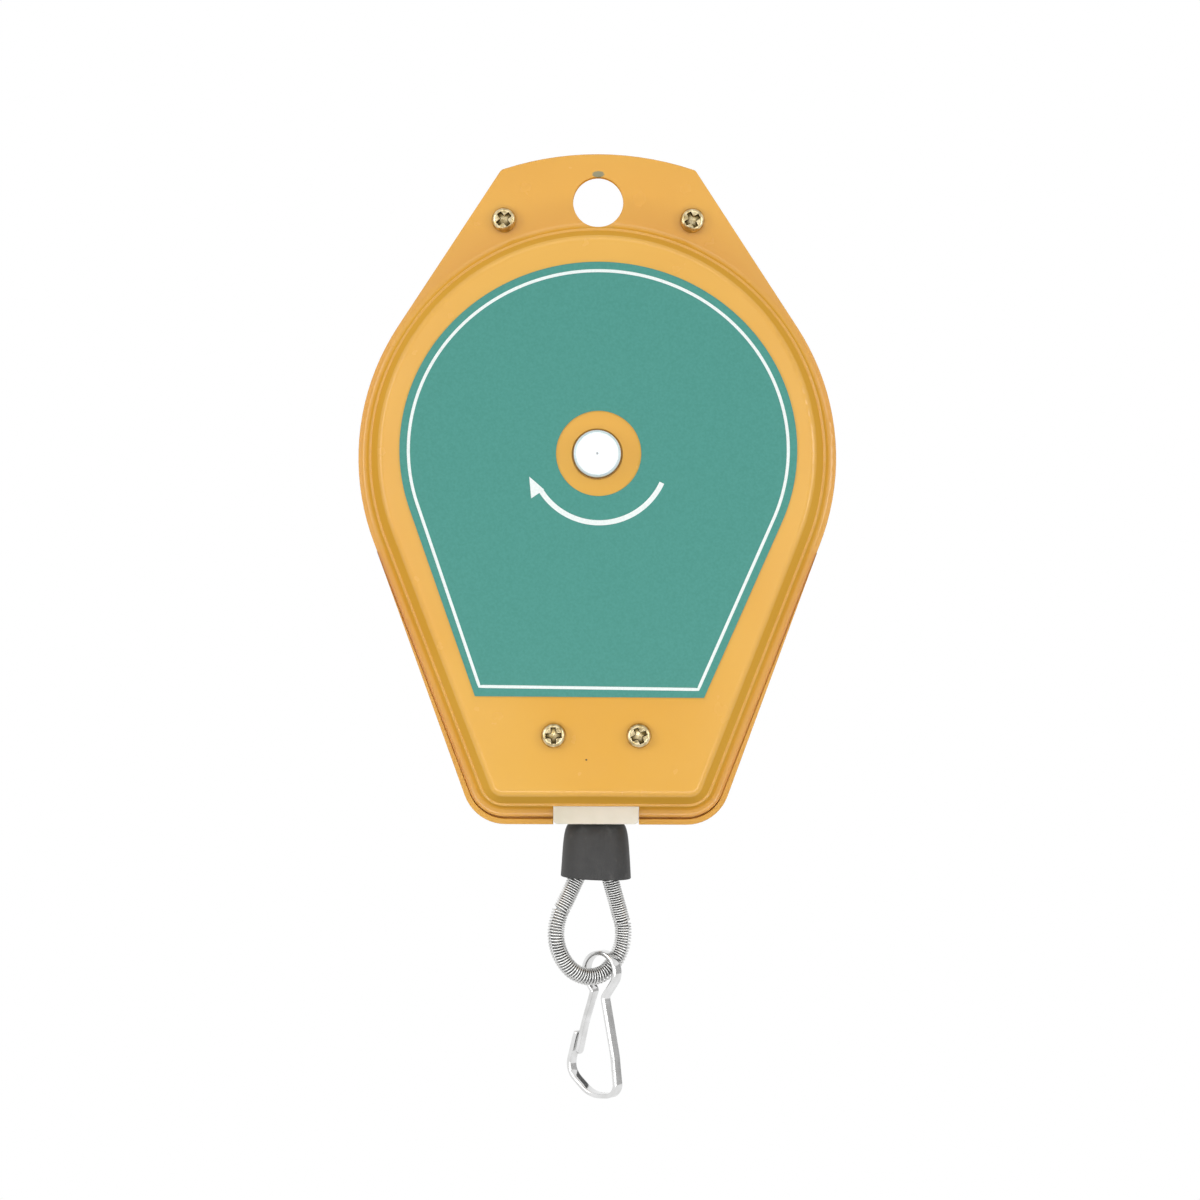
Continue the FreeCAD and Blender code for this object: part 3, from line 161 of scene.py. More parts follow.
# %% Spots in the enamel
RAGGED = 0.25
SPOT_EDGE = 0.12
PAINT_FLAWS = [
    ((0, -1.2, 6.1), (1.3, 3, 0.7), "8F8B6A"),
    ((-2.1, -18, -121.2), (0.22, 3, 0.2), "5A4526"),
]


def spot(tree, place, centre, size):
    """1 inside a ragged spot of that size round a point of the object, 0 outside, in millimetres."""
    shift = [-c / s for c, s in zip(centre, size)]
    moved = add_node(tree, "ShaderNodeMapping", {"Location": shift, "Scale": [1 / (s * MM) for s in size]},
                     {"Vector": place})
    rough = add_node(tree, "ShaderNodeTexNoise", {"Scale": 2.2, "Detail": 3.0}, {"Vector": moved})
    reach = add_node(tree, "ShaderNodeVectorMath", links={0: moved}, operation="LENGTH")
    uneven = add_node(tree, "ShaderNodeMath", {1: 2 * RAGGED}, {0: rough}, operation="MULTIPLY")
    total = add_node(tree, "ShaderNodeMath", links={0: reach.outputs["Value"], 1: uneven}, operation="ADD")
    return add_node(tree, "ShaderNodeMapRange",
                    {"From Min": 1 + RAGGED + SPOT_EDGE, "From Max": 1 + RAGGED - SPOT_EDGE}, {"Value": total})


print("flaws in the paint:", len(PAINT_FLAWS))

# %% Enamel
def make_enamel():
    """Stoved enamel: a warm yellow that clouds a little, glossy where it faces the eye."""
    material, tree, shader, place = new_material("yellow_stoved_enamel", Roughness=0.24, IOR=1.5,
                                                 Coat_Roughness=0.14)
    clouds = add_node(tree, "ShaderNodeTexNoise", {"Scale": 1 / (40 * MM), "Detail": 1.0}, {"Vector": place})
    yellow = add_node(tree, "ShaderNodeValToRGB", links={"Fac": clouds},
                      stops=[(0.35, "E3A83E"), (0.65, "E7B047")]).outputs["Color"]
    for centre, size, tone in PAINT_FLAWS:
        yellow = add_node(tree, "ShaderNodeMix", {7: linear(tone)},
                          {0: spot(tree, place, centre, size), 6: yellow}, data_type="RGBA").outputs[2]
    turn = add_node(tree, "ShaderNodeLayerWeight", {"Blend": 0.5}).outputs["Facing"]
    for socket, level in (("Specular IOR Level", 0.5), ("Coat Weight", 0.4)):
        fading = {"From Min": 0.25, "From Max": 0.65, "To Min": level, "To Max": 0.0}
        join(tree, shader, {socket: add_node(tree, "ShaderNodeMapRange", fading, {"Value": turn})})
    wiped = add_node(tree, "ShaderNodeTexNoise", {"Scale": 1 / (6 * MM), "Detail": 3.0}, {"Vector": place})
    gloss = add_node(tree, "ShaderNodeMapRange", {"To Min": 0.18, "To Max": 0.32}, {"Value": wiped})
    soft_edge = add_node(tree, "ShaderNodeBevel", {"Radius": 0.3 * MM}, samples=4)
    sag = add_node(tree, "ShaderNodeTexNoise", {"Scale": 1 / (9 * MM), "Detail": 0.0}, {"Vector": place})
    wave = add_node(tree, "ShaderNodeBump", {"Distance": 0.12 * MM, "Strength": 0.5},
                    {"Height": sag, "Normal": soft_edge})
    peel = add_node(tree, "ShaderNodeTexNoise", {"Scale": 1 / (1.3 * MM), "Detail": 1.0}, {"Vector": place})
    orange_peel = add_node(tree, "ShaderNodeBump", {"Distance": 0.02 * MM, "Strength": 0.6},
                           {"Height": peel, "Normal": wave})
    join(tree, shader, {"Base Color": yellow, "Roughness": gloss, "Normal": orange_peel})
    return material


enamel = make_enamel()
print(enamel.name, len(enamel.node_tree.nodes), "nodes")

# %% [markdown]
# ## Printed foil and its ink
# The label is aluminium foil under a layer of green print, so the eye sees ink and not metal: IOR 1.5
# and a satin roughness. Print has a grain of about half a millimetre at most, which stays just
# visible. The white lines are screen ink, matter than the green and a little uneven.

# %% Foil and ink
def make_foil():
    """Printed foil: an even blue green with a fine grain and a satin sheen."""
    material, tree, shader, place = new_material("green_printed_foil", Roughness=0.42, IOR=1.5)
    speck = add_node(tree, "ShaderNodeTexNoise", {"Scale": 1 / (0.5 * MM), "Detail": 2.0}, {"Vector": place})
    green = add_node(tree, "ShaderNodeValToRGB", links={"Fac": speck}, stops=[(0.3, "3B8B7F"), (0.7, "439287")])
    tooth = add_node(tree, "ShaderNodeTexNoise", {"Scale": 1 / (0.8 * MM), "Detail": 2.0}, {"Vector": place})
    relief = add_node(tree, "ShaderNodeBump", {"Distance": 0.004 * MM, "Strength": 1.0}, {"Height": tooth})
    join(tree, shader, {"Base Color": green, "Normal": relief})
    return material


def make_ink():
    """Screen ink: an opaque white that is a touch cold, and matt."""
    material, tree, shader, place = new_material("white_screen_ink", Roughness=0.5, IOR=1.5)
    speck = add_node(tree, "ShaderNodeTexNoise", {"Scale": 1 / (0.4 * MM), "Detail": 2.0}, {"Vector": place})
    white = add_node(tree, "ShaderNodeValToRGB", links={"Fac": speck}, stops=[(0.3, "E4EDEA"), (0.7, "F2F7F5")])
    join(tree, shader, {"Base Color": white})
    return material


foil = make_foil()
ink = make_ink()
print("print:", foil.name, "and", ink.name)

# %% [markdown]
# ## Moulded nylon
# The cable guide is moulded nylon, white with a warm cast. Light goes a little way in, which softens
# its edges, so the shader scatters some of it below the surface. Its IOR is 1.53.

# %% Nylon
def make_nylon():
    """Moulded nylon: milky, warm white, with soft edges and a faint mould texture."""
    material, tree, shader, place = new_material("white_moulded_nylon", Roughness=0.42, IOR=1.53,
                                                 Subsurface_Weight=0.15, Subsurface_Scale=0.5)
    shader.inputs["Subsurface Radius"].default_value = (2 * MM, 1.6 * MM, 1.2 * MM)
    milk = add_node(tree, "ShaderNodeTexNoise", {"Scale": 1 / (5 * MM), "Detail": 2.0}, {"Vector": place})
    white = add_node(tree, "ShaderNodeValToRGB", links={"Fac": milk}, stops=[(0.3, "E4E0CF"), (0.7, "EEEADD")])
    soft_edge = add_node(tree, "ShaderNodeBevel", {"Radius": 0.25 * MM}, samples=4)
    mould = add_node(tree, "ShaderNodeTexNoise", {"Scale": 1 / (0.3 * MM), "Detail": 2.0}, {"Vector": place})
    relief = add_node(tree, "ShaderNodeBump", {"Distance": 0.006 * MM, "Strength": 1.0},
                      {"Height": mould, "Normal": soft_edge})
    join(tree, shader, {"Base Color": white, "Normal": relief})
    return material


nylon = make_nylon()
print(nylon.name, len(nylon.node_tree.nodes), "nodes")

# %% [markdown]
# ## Moulded rubber
# The bumper is black moulded rubber. It isn't quite black, because its matt skin scatters light, and
# dust gathers on it in patches of a few millimetres that are paler and duller.

# %% Rubber
def make_rubber():
    """Moulded rubber: dark grey, matt, with dust in paler patches."""
    material, tree, shader, place = new_material("black_moulded_rubber", Roughness=0.55, IOR=1.52)
    dust = add_node(tree, "ShaderNodeTexNoise", {"Scale": 1 / (2.5 * MM), "Detail": 4.0}, {"Vector": place})
    black = add_node(tree, "ShaderNodeValToRGB", links={"Fac": dust},
                     stops=[(0.3, "292929"), (0.62, "353535"), (0.8, "4C4C4B")])
    dull = add_node(tree, "ShaderNodeMapRange", {"To Min": 0.45, "To Max": 0.68}, {"Value": dust})
    pores = add_node(tree, "ShaderNodeTexNoise", {"Scale": 1 / (0.35 * MM), "Detail": 3.0}, {"Vector": place})
    relief = add_node(tree, "ShaderNodeBump", {"Distance": 0.03 * MM, "Strength": 0.6}, {"Height": pores})
    join(tree, shader, {"Base Color": black, "Roughness": dull, "Normal": relief})
    return material


rubber = make_rubber()
print(rubber.name, len(rubber.node_tree.nodes), "nodes")

# %% [markdown]
# ## Plated, drawn, sintered and cast metals
# All of them are metallic 1 with the default IOR. What tells them apart is the tone, how blurred the
# reflection is and how large its lumps are, from the spangle of zinc to the grain of sintered bronze.
# The lumps of tone are 0.4 mm or larger, and the relief on them is four times finer. Passivated zinc
# and wound wire get painted shade in their recesses: ambient occlusion measures how open each point is,
# and the shut ones take a darker colour that stands in for the shade there.

# %% Metals
def make_metal(name, dark, light, roughness, lump, height, hollow_shade=None):
    """A metal whose tone and gloss vary a little over lumps of that size. A hollow shade is the colour
    painted into its hollows as shade, how wide they are, and the open shares between which it fades."""
    material, tree, shader, place = new_material(name, Metallic=1.0)
    lumps = add_node(tree, "ShaderNodeTexNoise", {"Scale": 1 / lump, "Detail": 3.0}, {"Vector": place})
    tone = add_node(tree, "ShaderNodeValToRGB", links={"Fac": lumps}, stops=[(0.3, dark), (0.7, light)])
    # Painted shade: where ambient occlusion finds a point shut in, the tone darkens towards the shade colour.
    if hollow_shade:
        shade, reach, low, high = hollow_shade
        openness = add_node(tree, "ShaderNodeAmbientOcclusion", {"Distance": reach}, samples=8)
        painted_shade = add_node(tree, "ShaderNodeMapRange", {"From Min": low, "From Max": high},
                        {"Value": openness.outputs["AO"]})
        tone = add_node(tree, "ShaderNodeMix", {6: linear(shade)}, {0: painted_shade, 7: tone},
                        data_type="RGBA").outputs[2]
    gloss = add_node(tree, "ShaderNodeMapRange", {"To Min": roughness[0], "To Max": roughness[1]},
                     {"Value": lumps})
    soft_edge = add_node(tree, "ShaderNodeBevel", {"Radius": 0.12 * MM}, samples=4)
    fine = add_node(tree, "ShaderNodeTexNoise", {"Scale": 4 / lump, "Detail": 2.0}, {"Vector": place})
    relief = add_node(tree, "ShaderNodeBump", {"Distance": height, "Strength": 0.6},
                      {"Height": fine, "Normal": soft_edge})
    join(tree, shader, {"Base Color": tone, "Roughness": gloss, "Normal": relief})
    return material


# Zinc plate is blue white with a spangle; the passivated kind has a yellow film, with painted shade darkening its
# hollows.
bright_zinc = make_metal("bright_zinc_plate", "B9BEC2", "D5D9DC", (0.2, 0.36), 1.2 * MM, 0.01 * MM)
yellow_zinc = make_metal("yellow_passivated_zinc", "A08A58", "E2D3AE", (0.16, 0.3), 1.0 * MM, 0.008 * MM,
                         ("4E4020", 1.1 * MM, 0.5, 0.92))
# Drawn steel is smooth and neutral; sintered bronze and cast aluminium are duller, with a grain.
spring_steel = make_metal("drawn_spring_steel", "A9A9A8", "CBCBC9", (0.2, 0.34), 2 * MM, 0.006 * MM)
bronze = make_metal("sintered_bronze", "A5793F", "C39A5E", (0.35, 0.55), 0.4 * MM, 0.02 * MM)
aluminium = make_metal("die_cast_aluminium", "AEB0B3", "C6C8CA", (0.38, 0.55), 1.5 * MM, 0.02 * MM)
# Between strands and turns of wire the eye sees nearly black, so painted shade darkens the wire there.
rope_steel = make_metal("galvanised_rope_wire", "9B9C9B", "C2C3C2", (0.3, 0.5), 0.6 * MM, 0.008 * MM,
                        ("2A2A29", 0.8 * MM, 0.35, 0.75))
sheath_steel = make_metal("drawn_sheath_wire", "C9C9C8", "ECECEA", (0.22, 0.34), 3 * MM, 0.003 * MM,
                          ("2E2E2D", 0.3 * MM, 0.35, 0.75))
# Bright nickel is nearly a mirror, a little warm beside zinc.
nickel = make_metal("bright_nickel_plate", "D3D3D2", "E9E9E9", (0.06, 0.14), 3 * MM, 0.004 * MM)
print("materials so far:", ", ".join(material.name for material in bpy.data.materials))

# %% [markdown]
# ## Faced end of the shaft
# The shaft's end is turned flat on a lathe before it is plated. The tool leaves rings a quarter of a
# millimetre apart, which scatter the light and make the end paler than the plate beside it.

# %% Faced zinc
RING_SPACING = 0.25 * MM
SPACING_AT_SCALE_ONE = 0.31
SHAFT_DROP = 56


def make_faced_zinc():
    """Bright zinc over a faced end: pale, with fine rings round the shaft."""
    material, tree, shader, place = new_material("faced_bright_zinc", Metallic=1.0)
    speck = add_node(tree, "ShaderNodeTexNoise", {"Scale": 1 / (0.35 * MM), "Detail": 3.0}, {"Vector": place})
    pale = add_node(tree, "ShaderNodeValToRGB", links={"Fac": speck}, stops=[(0.3, "DEE8EC"), (0.7, "F2F8FA")])
    satin = add_node(tree, "ShaderNodeMapRange", {"To Min": 0.3, "To Max": 0.5}, {"Value": speck})
    centred = add_node(tree, "ShaderNodeMapping", {"Location": (0, 0, SHAFT_DROP * MM)}, {"Vector": place})
    rings = add_node(tree, "ShaderNodeTexWave", {"Scale": SPACING_AT_SCALE_ONE / RING_SPACING, "Distortion": 1.5},
                     {"Vector": centred}, wave_type="RINGS", rings_direction="Y")
    relief = add_node(tree, "ShaderNodeBump", {"Distance": 0.006 * MM, "Strength": 0.6},
                      {"Height": rings.outputs["Fac"]})
    join(tree, shader, {"Base Color": pale, "Roughness": satin, "Normal": relief})
    return material


faced_zinc = make_faced_zinc()
print(faced_zinc.name, len(faced_zinc.node_tree.nodes), "nodes")

# %% [markdown]
# ## A finish for every solid
# The frame says what each solid is made of, under a slot name. One table turns slots into finishes,
# and only the shaft differs, because its faced end is what shows.

# %% Finish of each node
SLOT_FINISH = {
    "yellow_paint": enamel, "label_foil": foil, "white_nylon": nylon, "black_rubber": rubber,
    "yellow_zinc": yellow_zinc, "bright_zinc": bright_zinc, "spring_steel": spring_steel,
    "bronze": bronze, "cast_aluminium": aluminium, "wire_rope": rope_steel, "nickel_plate": nickel,
}
for part in frame["record"]["subparts"]:
    solid = nodes[part["node"]]
    solid.data.materials.clear()
    solid.data.materials.append(SLOT_FINISH[part["material_slot"]])
nodes["arbor"].data.materials[0] = faced_zinc
print("solids with a finish:", sum(len(solid.data.materials) == 1 for solid in nodes.values()))

# %% [markdown]
# ## Pieces that are wound, bent or turned
# A solid model keeps hooks and springs plain. What the eye reads in them is finer: rounded strip
# edges, single turns of wire, a cross recess. Modifiers could make some of these forms. Here each
# piece is a skin of quads between rings of points, because the points say every size outright.
# Sizes are in millimetres until a piece is added.

# %% Skins

def skin(rings, caps=True, closed=False):
    """Points and faces of quads between rings that have equally many points each."""
    rings = np.asarray(rings, float)
    count, size = rings.shape[:2]
    faces = []
    for i in range(count if closed else count - 1):
        low, high = i * size, (i + 1) % count * size
        faces += [(low + j, low + (j + 1) % size, high + (j + 1) % size, high + j) for j in range(size)]
    if caps and not closed:
        faces += [tuple(range(size))[::-1], tuple(range((count - 1) * size, count * size))]
    return rings.reshape(-1, 3), faces


print("faces of a box made of two rings:", len(skin(np.zeros((2, 4, 3)))[1]))

# %% [markdown]
# ## Putting a piece in the frame
# A piece may stand for solids of the frame, and it rides on the body that carries it, so it moves as
# that body does. Shading is smooth up to an angle, which keeps sharp edges sharp.

# %% Pieces

def add_piece(name, shells, material, body, stands_for=(), sharp=35):
    """One object of several shells, shaded smooth up to that angle, which rides on a body."""
    points, faces = [], []
    for shell_points, shell_faces in shells:
        faces += [tuple(index + len(points) for index in face) for face in shell_faces]
        points += [Vector(point) * MM for point in shell_points]
    mesh = bpy.data.meshes.new(name)
    mesh.from_pydata(points, [], faces)
    shell = bmesh.new()
    shell.from_mesh(mesh)
    bmesh.ops.recalc_face_normals(shell, faces=shell.faces)
    shell.to_mesh(mesh)
    shell.free()
    mesh.polygons.foreach_set("use_smooth", [True] * len(mesh.polygons))
    mesh.set_sharp_from_angle(angle=math.radians(sharp))
    mesh.materials.append(material)
    piece = bpy.data.objects.new(name, mesh)
    bpy.context.scene.collection.objects.link(piece)
    if stands_for:
        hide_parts(*stands_for)
    if body:
        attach(piece, body)
    print(name, len(points), "points")
    return piece


# %% [markdown]
# ## Lines that strip and wire follow
# Bent strip has straight runs and arcs of known radius. Points at even steps along them give even
# quads, and a normal at every point says which way is across.

# %% Paths

def rounded_path(corners, step):
    """Points step apart on straight runs and arcs. A corner is across, up and its bend radius."""
    spots = [np.array(corner[:2], float) for corner in corners]
    path = [spots[0]]
    for before, here, after, corner in zip(spots, spots[1:], spots[2:], corners[1:]):
        into = (here - before) / np.linalg.norm(here - before)
        out = (after - here) / np.linalg.norm(after - here)
        turn = math.atan2(into[0] * out[1] - into[1] * out[0], into @ out)
        side = math.copysign(1, turn)
        start = here - into * corner[2] * math.tan(abs(turn) / 2)
        middle = start + side * corner[2] * np.array((-into[1], into[0]))
        for share in np.linspace(0, turn, 14):
            spin = np.array(((math.cos(share), -math.sin(share)), (math.sin(share), math.cos(share))))
            path.append(middle + spin @ (start - middle))
    path.append(spots[-1])
    return resample(np.array(path), step)


def resample(path, step):
    """The same line with points that are step apart."""
    along = np.concatenate(((0,), np.cumsum(np.linalg.norm(np.diff(path, axis=0), axis=1))))
    marks = np.linspace(0, along[-1], max(2, round(along[-1] / step) + 1))
    return np.stack([np.interp(marks, along, column) for column in path.T], axis=1)


def turned(points, angle):
    """Points of a piece drawn in its own plane, turned about +Z."""
    angle = math.radians(angle)
    points = np.asarray(points, float)
    x, y, z = points[..., 0], points[..., 1], points[..., 2]
    return np.stack((x * math.cos(angle) - y * math.sin(angle),
                     x * math.sin(angle) + y * math.cos(angle), z), axis=-1)


def normals(path):
    """Unit normals of a flat path, a quarter turn ahead of its direction."""
    way = np.gradient(path, axis=0)
    way /= np.linalg.norm(way, axis=1)[:, None]
    return np.stack((-way[:, 1], way[:, 0]), axis=1)
print("points round one bend:", len(rounded_path([(0, 0), (10, 0, 2), (10, 10)], 0.3)))

# %% [markdown]
# ## Snap hook
# The hook is one nickel plated strip, a little narrower at the springy gate. Blanked strip has rounded
# edges, which draw the bright lines along it. A bevel node would only shade them, so the rounding is
# part of every ring. The strip leaves its round eye along lines that touch the circle.

# %% Strip

EDGE_ROUND = 0.28
EYE_RADIUS = 4.1
NECK = np.array((1.0, -5.6))
ROOT = np.array((-1.9, -4.3))
HOOK_PLACE = (0.7, 1.33, -168.6)
HOOK_TURN = -36


def touch(point, side):
    """Where a line from that point touches the eye, on its right (1) or its left (-1)."""
    angle = math.atan2(point[1], point[0]) + side * math.acos(EYE_RADIUS / np.linalg.norm(point))
    return angle, EYE_RADIUS * np.array((math.cos(angle), math.sin(angle)))


def strip(path, widths, thickness, round_first=True):
    """Rounded strip along a flat path, with a width at every point and softly closed ends."""
    reach = np.concatenate(((0,), np.cumsum(np.linalg.norm(np.diff(path, axis=0), axis=1))))
    rings = []
    for spot, side, width, low in zip(path, normals(path), widths, reach):
        end = min(low if round_first else EDGE_ROUND, reach[-1] - low, EDGE_ROUND)
        radius = math.sqrt(EDGE_ROUND ** 2 - (EDGE_ROUND - end) ** 2)
        ring = []
        for u, v, quarter in ((1, 1, 0), (-1, 1, 1), (-1, -1, 2), (1, -1, 3)):
            for part in range(4):
                angle = math.radians(90 * quarter + 30 * part)
                across = u * (thickness / 2 - EDGE_ROUND) + radius * math.cos(angle)
                deep = v * (width / 2 - EDGE_ROUND) + radius * math.sin(angle)
                ring.append((spot[0] + side[0] * across, deep, spot[1] + side[1] * across))
        rings.append(ring)
    return skin(turned(np.array(rings) + HOOK_PLACE, HOOK_TURN))


def fine_ends(path):
    """Adds points near both ends of a path, where the strip rounds off."""
    near = [0.02, 0.06, 0.12, 0.2]
    first = (path[1] - path[0]) / np.linalg.norm(path[1] - path[0])
    last = (path[-2] - path[-1]) / np.linalg.norm(path[-2] - path[-1])
    return np.concatenate((path[:1], [path[0] + first * n for n in near], path[1:-1],
                           [path[-1] + last * n for n in near[::-1]], path[-1:]))


print("touching points of neck and root:", touch(NECK, 1)[1], touch(ROOT, -1)[1])

# %% [markdown]
# ## Hook and gate
# The hook runs from its tip round the bow to the neck and round the eye. The gate goes on from there,
# over a springy root to a free end. The real gate has no hinge, and bends where it is narrow, so the
# piece is blended between hook and gate over two millimetres at its root.

# %% Hook and gate
STRIP_WIDTH = 2.6
STRIP_THICKNESS = 1.0
GATE_WIDTH = 2.2
GATE_THICKNESS = 0.95
BOW = [(-6.15, -13.6), (-6.6, -14.8, 1.2), (-8.7, -22.3, 4.2), (-2.4, -27.5, 6.8), (4.7, -26.9, 2.6),
       (3.7, -18.3, 12)]
GATE_LINE = [(*ROOT, 0.9), (-4.39, -11.57, 40), (-6.1, -18.6)]


def build_hook():
    """From the tip, round the bow and over the neck, to the end of the eye."""
    start, start_point = touch(NECK, 1)
    stop = touch(ROOT, -1)[0]
    bow = rounded_path([*BOW, (*NECK, 1.2), tuple(start_point)], 0.3)
    angles = np.linspace(start, stop % (2 * math.pi), 60)[1:]
    eye = EYE_RADIUS * np.stack((np.cos(angles), np.sin(angles)), axis=1)
    path = fine_ends(resample(np.concatenate((bow, eye)), 0.3))
    return strip(path, np.full(len(path), STRIP_WIDTH), STRIP_THICKNESS)


def build_gate():
    """From the left of the eye, over the springy root, to the blunt free end."""
    path = fine_ends(rounded_path([tuple(touch(ROOT, -1)[1]), *GATE_LINE], 0.25))
    reach = np.linalg.norm(path - path[-1], axis=1)
    blunt = np.sqrt(np.clip(1 - (1 - np.clip(reach / (GATE_WIDTH / 2), 0, 1)) ** 2, 0.3, 1))
    slim = np.interp(path[:, 1], (-6.5, -4.0), (GATE_WIDTH, STRIP_WIDTH))
    return strip(path, slim * blunt, GATE_THICKNESS)


add_piece("snap_hook_strip", [build_hook()], nickel, "snap_hook", ["hook_body"])
gate = add_piece("snap_hook_gate", [build_gate()], nickel, None, ["hook_gate"])
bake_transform(gate)

# %% [markdown]
# ## The line of the loop
# The rope's end is bent round to a loop that carries the hook. On this sample it hangs a little askew,
# and jogs where its legs meet the bow. A circle would look too clean, so a smooth line goes through
# points that lie on the photographed loop.

# %% Loop line
LOOP_TURN = 26
LEFT_LEG = [(-3.3, -145.3), (-8.0, -154.2)]
RIGHT_LEG = [(6.25, -157.3), (2.6, -145.4)]
LOOP_BOW = [(-8.45, -154.8), (-9.25, -157.2), (-9.6, -159.7), (-9.3, -162.3), (-8.1, -165.2), (-5.7, -168.0),
            (-2.1, -169.6), (1.8, -169.1), (4.8, -166.3), (6.35, -163.3), (6.75, -160.6), (6.6, -158.2)]

def flowing(points, step):
    """A smooth line through the points."""
    points = np.array(points, float)
    points = np.concatenate((2 * points[:1] - points[1:2], points, 2 * points[-1:] - points[-2:-1]))
    t = np.linspace(0, 1, 24, endpoint=False)[:, None]
    parts = [0.5 * (2 * b + (c - a) * t + (2 * a - 5 * b + 4 * c - d) * t ** 2
                    + (3 * b - a - 3 * c + d) * t ** 3)
             for a, b, c, d in zip(points, points[1:], points[2:], points[3:])]
    return resample(np.concatenate((*parts, points[-2:-1])), step)


def loop_line(step):
    """The loop in its own plane, down its left leg, round the bow and up the right one."""
    return resample(np.concatenate((LEFT_LEG, flowing(LOOP_BOW, step), RIGHT_LEG)), step)


def wire_skin(line, out, radius, size):
    """Round wire along a line; out is a direction across it at every point."""
    way = np.gradient(line, axis=0)
    way /= np.linalg.norm(way, axis=1)[:, None]
    across = np.cross(way, out)
    angles = np.arange(size) * 2 * math.pi / size
    rings = [line + radius * (math.cos(a) * out + math.sin(a) * across) for a in angles]
    return skin(np.stack(rings, axis=1))


print("length of the loop:", round(float(np.linalg.norm(np.diff(loop_line(0.5), axis=0), axis=1).sum()), 1))

# %% [markdown]
# ## Wound sheath
# The sheath is a wound spring that keeps the hook from wearing the rope. Its turns lie close together
# on the legs and fan out round the bow. A bump pattern would give it a smooth outline, so every turn is
# modelled: the wire goes round the loop's line, and the pitch grows with the bend.

# %% Sheath
SHEATH_WIRE = 0.36
SHEATH_PITCH = 0.53
SHEATH_RADIUS = 1.9
LINE_STEP = 0.03
FAN_OUT = 1.3
MOST_BEND = 0.2
POINTS_PER_TURN = 18


def build_sheath():
    path = loop_line(LINE_STEP)
    sides = normals(path)
    bend = np.abs(np.gradient(np.unwrap(np.arctan2(sides[:, 1], sides[:, 0])))) / LINE_STEP
    bend = np.convolve(bend, np.ones(60) / 60, mode="same")
    sides = np.stack([np.convolve(column, np.ones(21) / 21, mode="same") for column in sides.T], axis=1)
    sides /= np.linalg.norm(sides, axis=1)[:, None]
    pitch = SHEATH_PITCH * (1 + FAN_OUT * np.clip(bend, 0, MOST_BEND))
    turns = np.cumsum(LINE_STEP / pitch)
    steps = np.arange(0, turns[-1], 1 / POINTS_PER_TURN)
    spots = np.stack([np.interp(steps, turns, column) for column in path.T], axis=1)
    sides = np.stack([np.interp(steps, turns, column) for column in sides.T], axis=1)
    angles = steps * 2 * math.pi
    out = np.stack((sides[:, 0] * np.cos(angles), np.sin(angles), sides[:, 1] * np.cos(angles)), axis=1)
    centre = np.stack((spots[:, 0], 0 * angles, spots[:, 1]), axis=1)
    wire = centre + out * (SHEATH_RADIUS - SHEATH_WIRE / 2)
    return wire_skin(turned(wire, LOOP_TURN), turned(out, LOOP_TURN), SHEATH_WIRE / 2, 7), turns[-1]


sheath_shell, sheath_turns = build_sheath()
add_piece("wound_sheath", [sheath_shell], sheath_steel, "rope_end", ["loop_sheath"], 180)
print("turns of the sheath:", round(sheath_turns))

# %% [markdown]
# ## Rope in the loop
# Inside the sheath only glimpses of the rope show, so a round cord is enough. It leaves the ferrule,
# follows the same line as the sheath and comes back.

# %% Loop rope
ROPE_RADIUS = 1.2
FROM_FERRULE = [(-1.9, -143.0), (-2.2, -144.3)]
TO_FERRULE = [(2.05, -144.2), (1.9, -143.0)]


def build_loop_rope():
    """The rope from the ferrule down one leg and up the other."""
    flat = flowing([*FROM_FERRULE, *loop_line(1.5)[1:-1], *TO_FERRULE], 0.3)
    line = np.stack((flat[:, 0], 0 * flat[:, 0], flat[:, 1]), axis=1)
    sides = normals(flat)
    out = np.stack((sides[:, 0], 0 * flat[:, 0], sides[:, 1]), axis=1)
    return wire_skin(turned(line, LOOP_TURN), turned(out, LOOP_TURN), ROPE_RADIUS, 20)


add_piece("loop_rope", [build_loop_rope()], rope_steel, "rope_end", ["rope_loop"])

# %% [markdown]
# ## The rope that pays out
# Six strands lie round a core, so the rope's outline has six lobes that turn about once in 15 mm. At
# rest almost all of it is on the drum. This piece is short, between guide and ferrule, and its rings
# are packed so that they come out evenly when it is stretched long.

# %% Rope
ROPE_TOP, ROPE_END = -128.0, -137.6
ROPE_TRAVEL = 1300
ROPE_LAY = 15
STRAND_RADIUS = 0.4
STRAND_CENTRE = 0.8


def build_rope():
    turns = ROPE_TRAVEL / ROPE_LAY
    shares = np.linspace(0, 1, round(turns * 10))
    heights = 0.5 - np.sin(np.arcsin(1 - 2 * shares) / 3)
    angles = np.arange(24) * math.pi / 12
    lobe = (angles + math.pi / 6) % (math.pi / 3) - math.pi / 6
    chord = np.maximum(0, STRAND_RADIUS ** 2 - (STRAND_CENTRE * np.sin(lobe)) ** 2)
    edge = STRAND_CENTRE * np.cos(lobe) + np.sqrt(chord)
    rings = []
    for share, height in zip(shares, heights):
        spin = angles + share * turns * 2 * math.pi
        up = np.full(24, ROPE_TOP + (ROPE_END - ROPE_TOP) * height)
        rings.append(np.stack((edge * np.cos(spin), edge * np.sin(spin), up), axis=1))
    return skin(rings)


rope = add_piece("paid_out_rope", [build_rope()], rope_steel, None, ["rope_span"])
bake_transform(rope)

# %% [markdown]
# ## Turned and moulded pieces
# A turned piece is a profile spun round an axis, which numpy does as well as a screw modifier. The
# rubber stop keeps its hollow foot, its edges are as soft as moulded rubber's, and on this sample the
# foot is trimmed a little askew.

# %% Turning
STOP_TOP = -136.0
STOP_FOOT = -147.9
STOP_SLANT = 0.035

def spun(profile, steps=96):
    """Rings of a profile of radius and height, spun round +Z."""
    angles = np.arange(steps) * 2 * math.pi / steps
    return [[(radius * math.cos(a), radius * math.sin(a), height) for a in angles]
            for radius, height in profile]


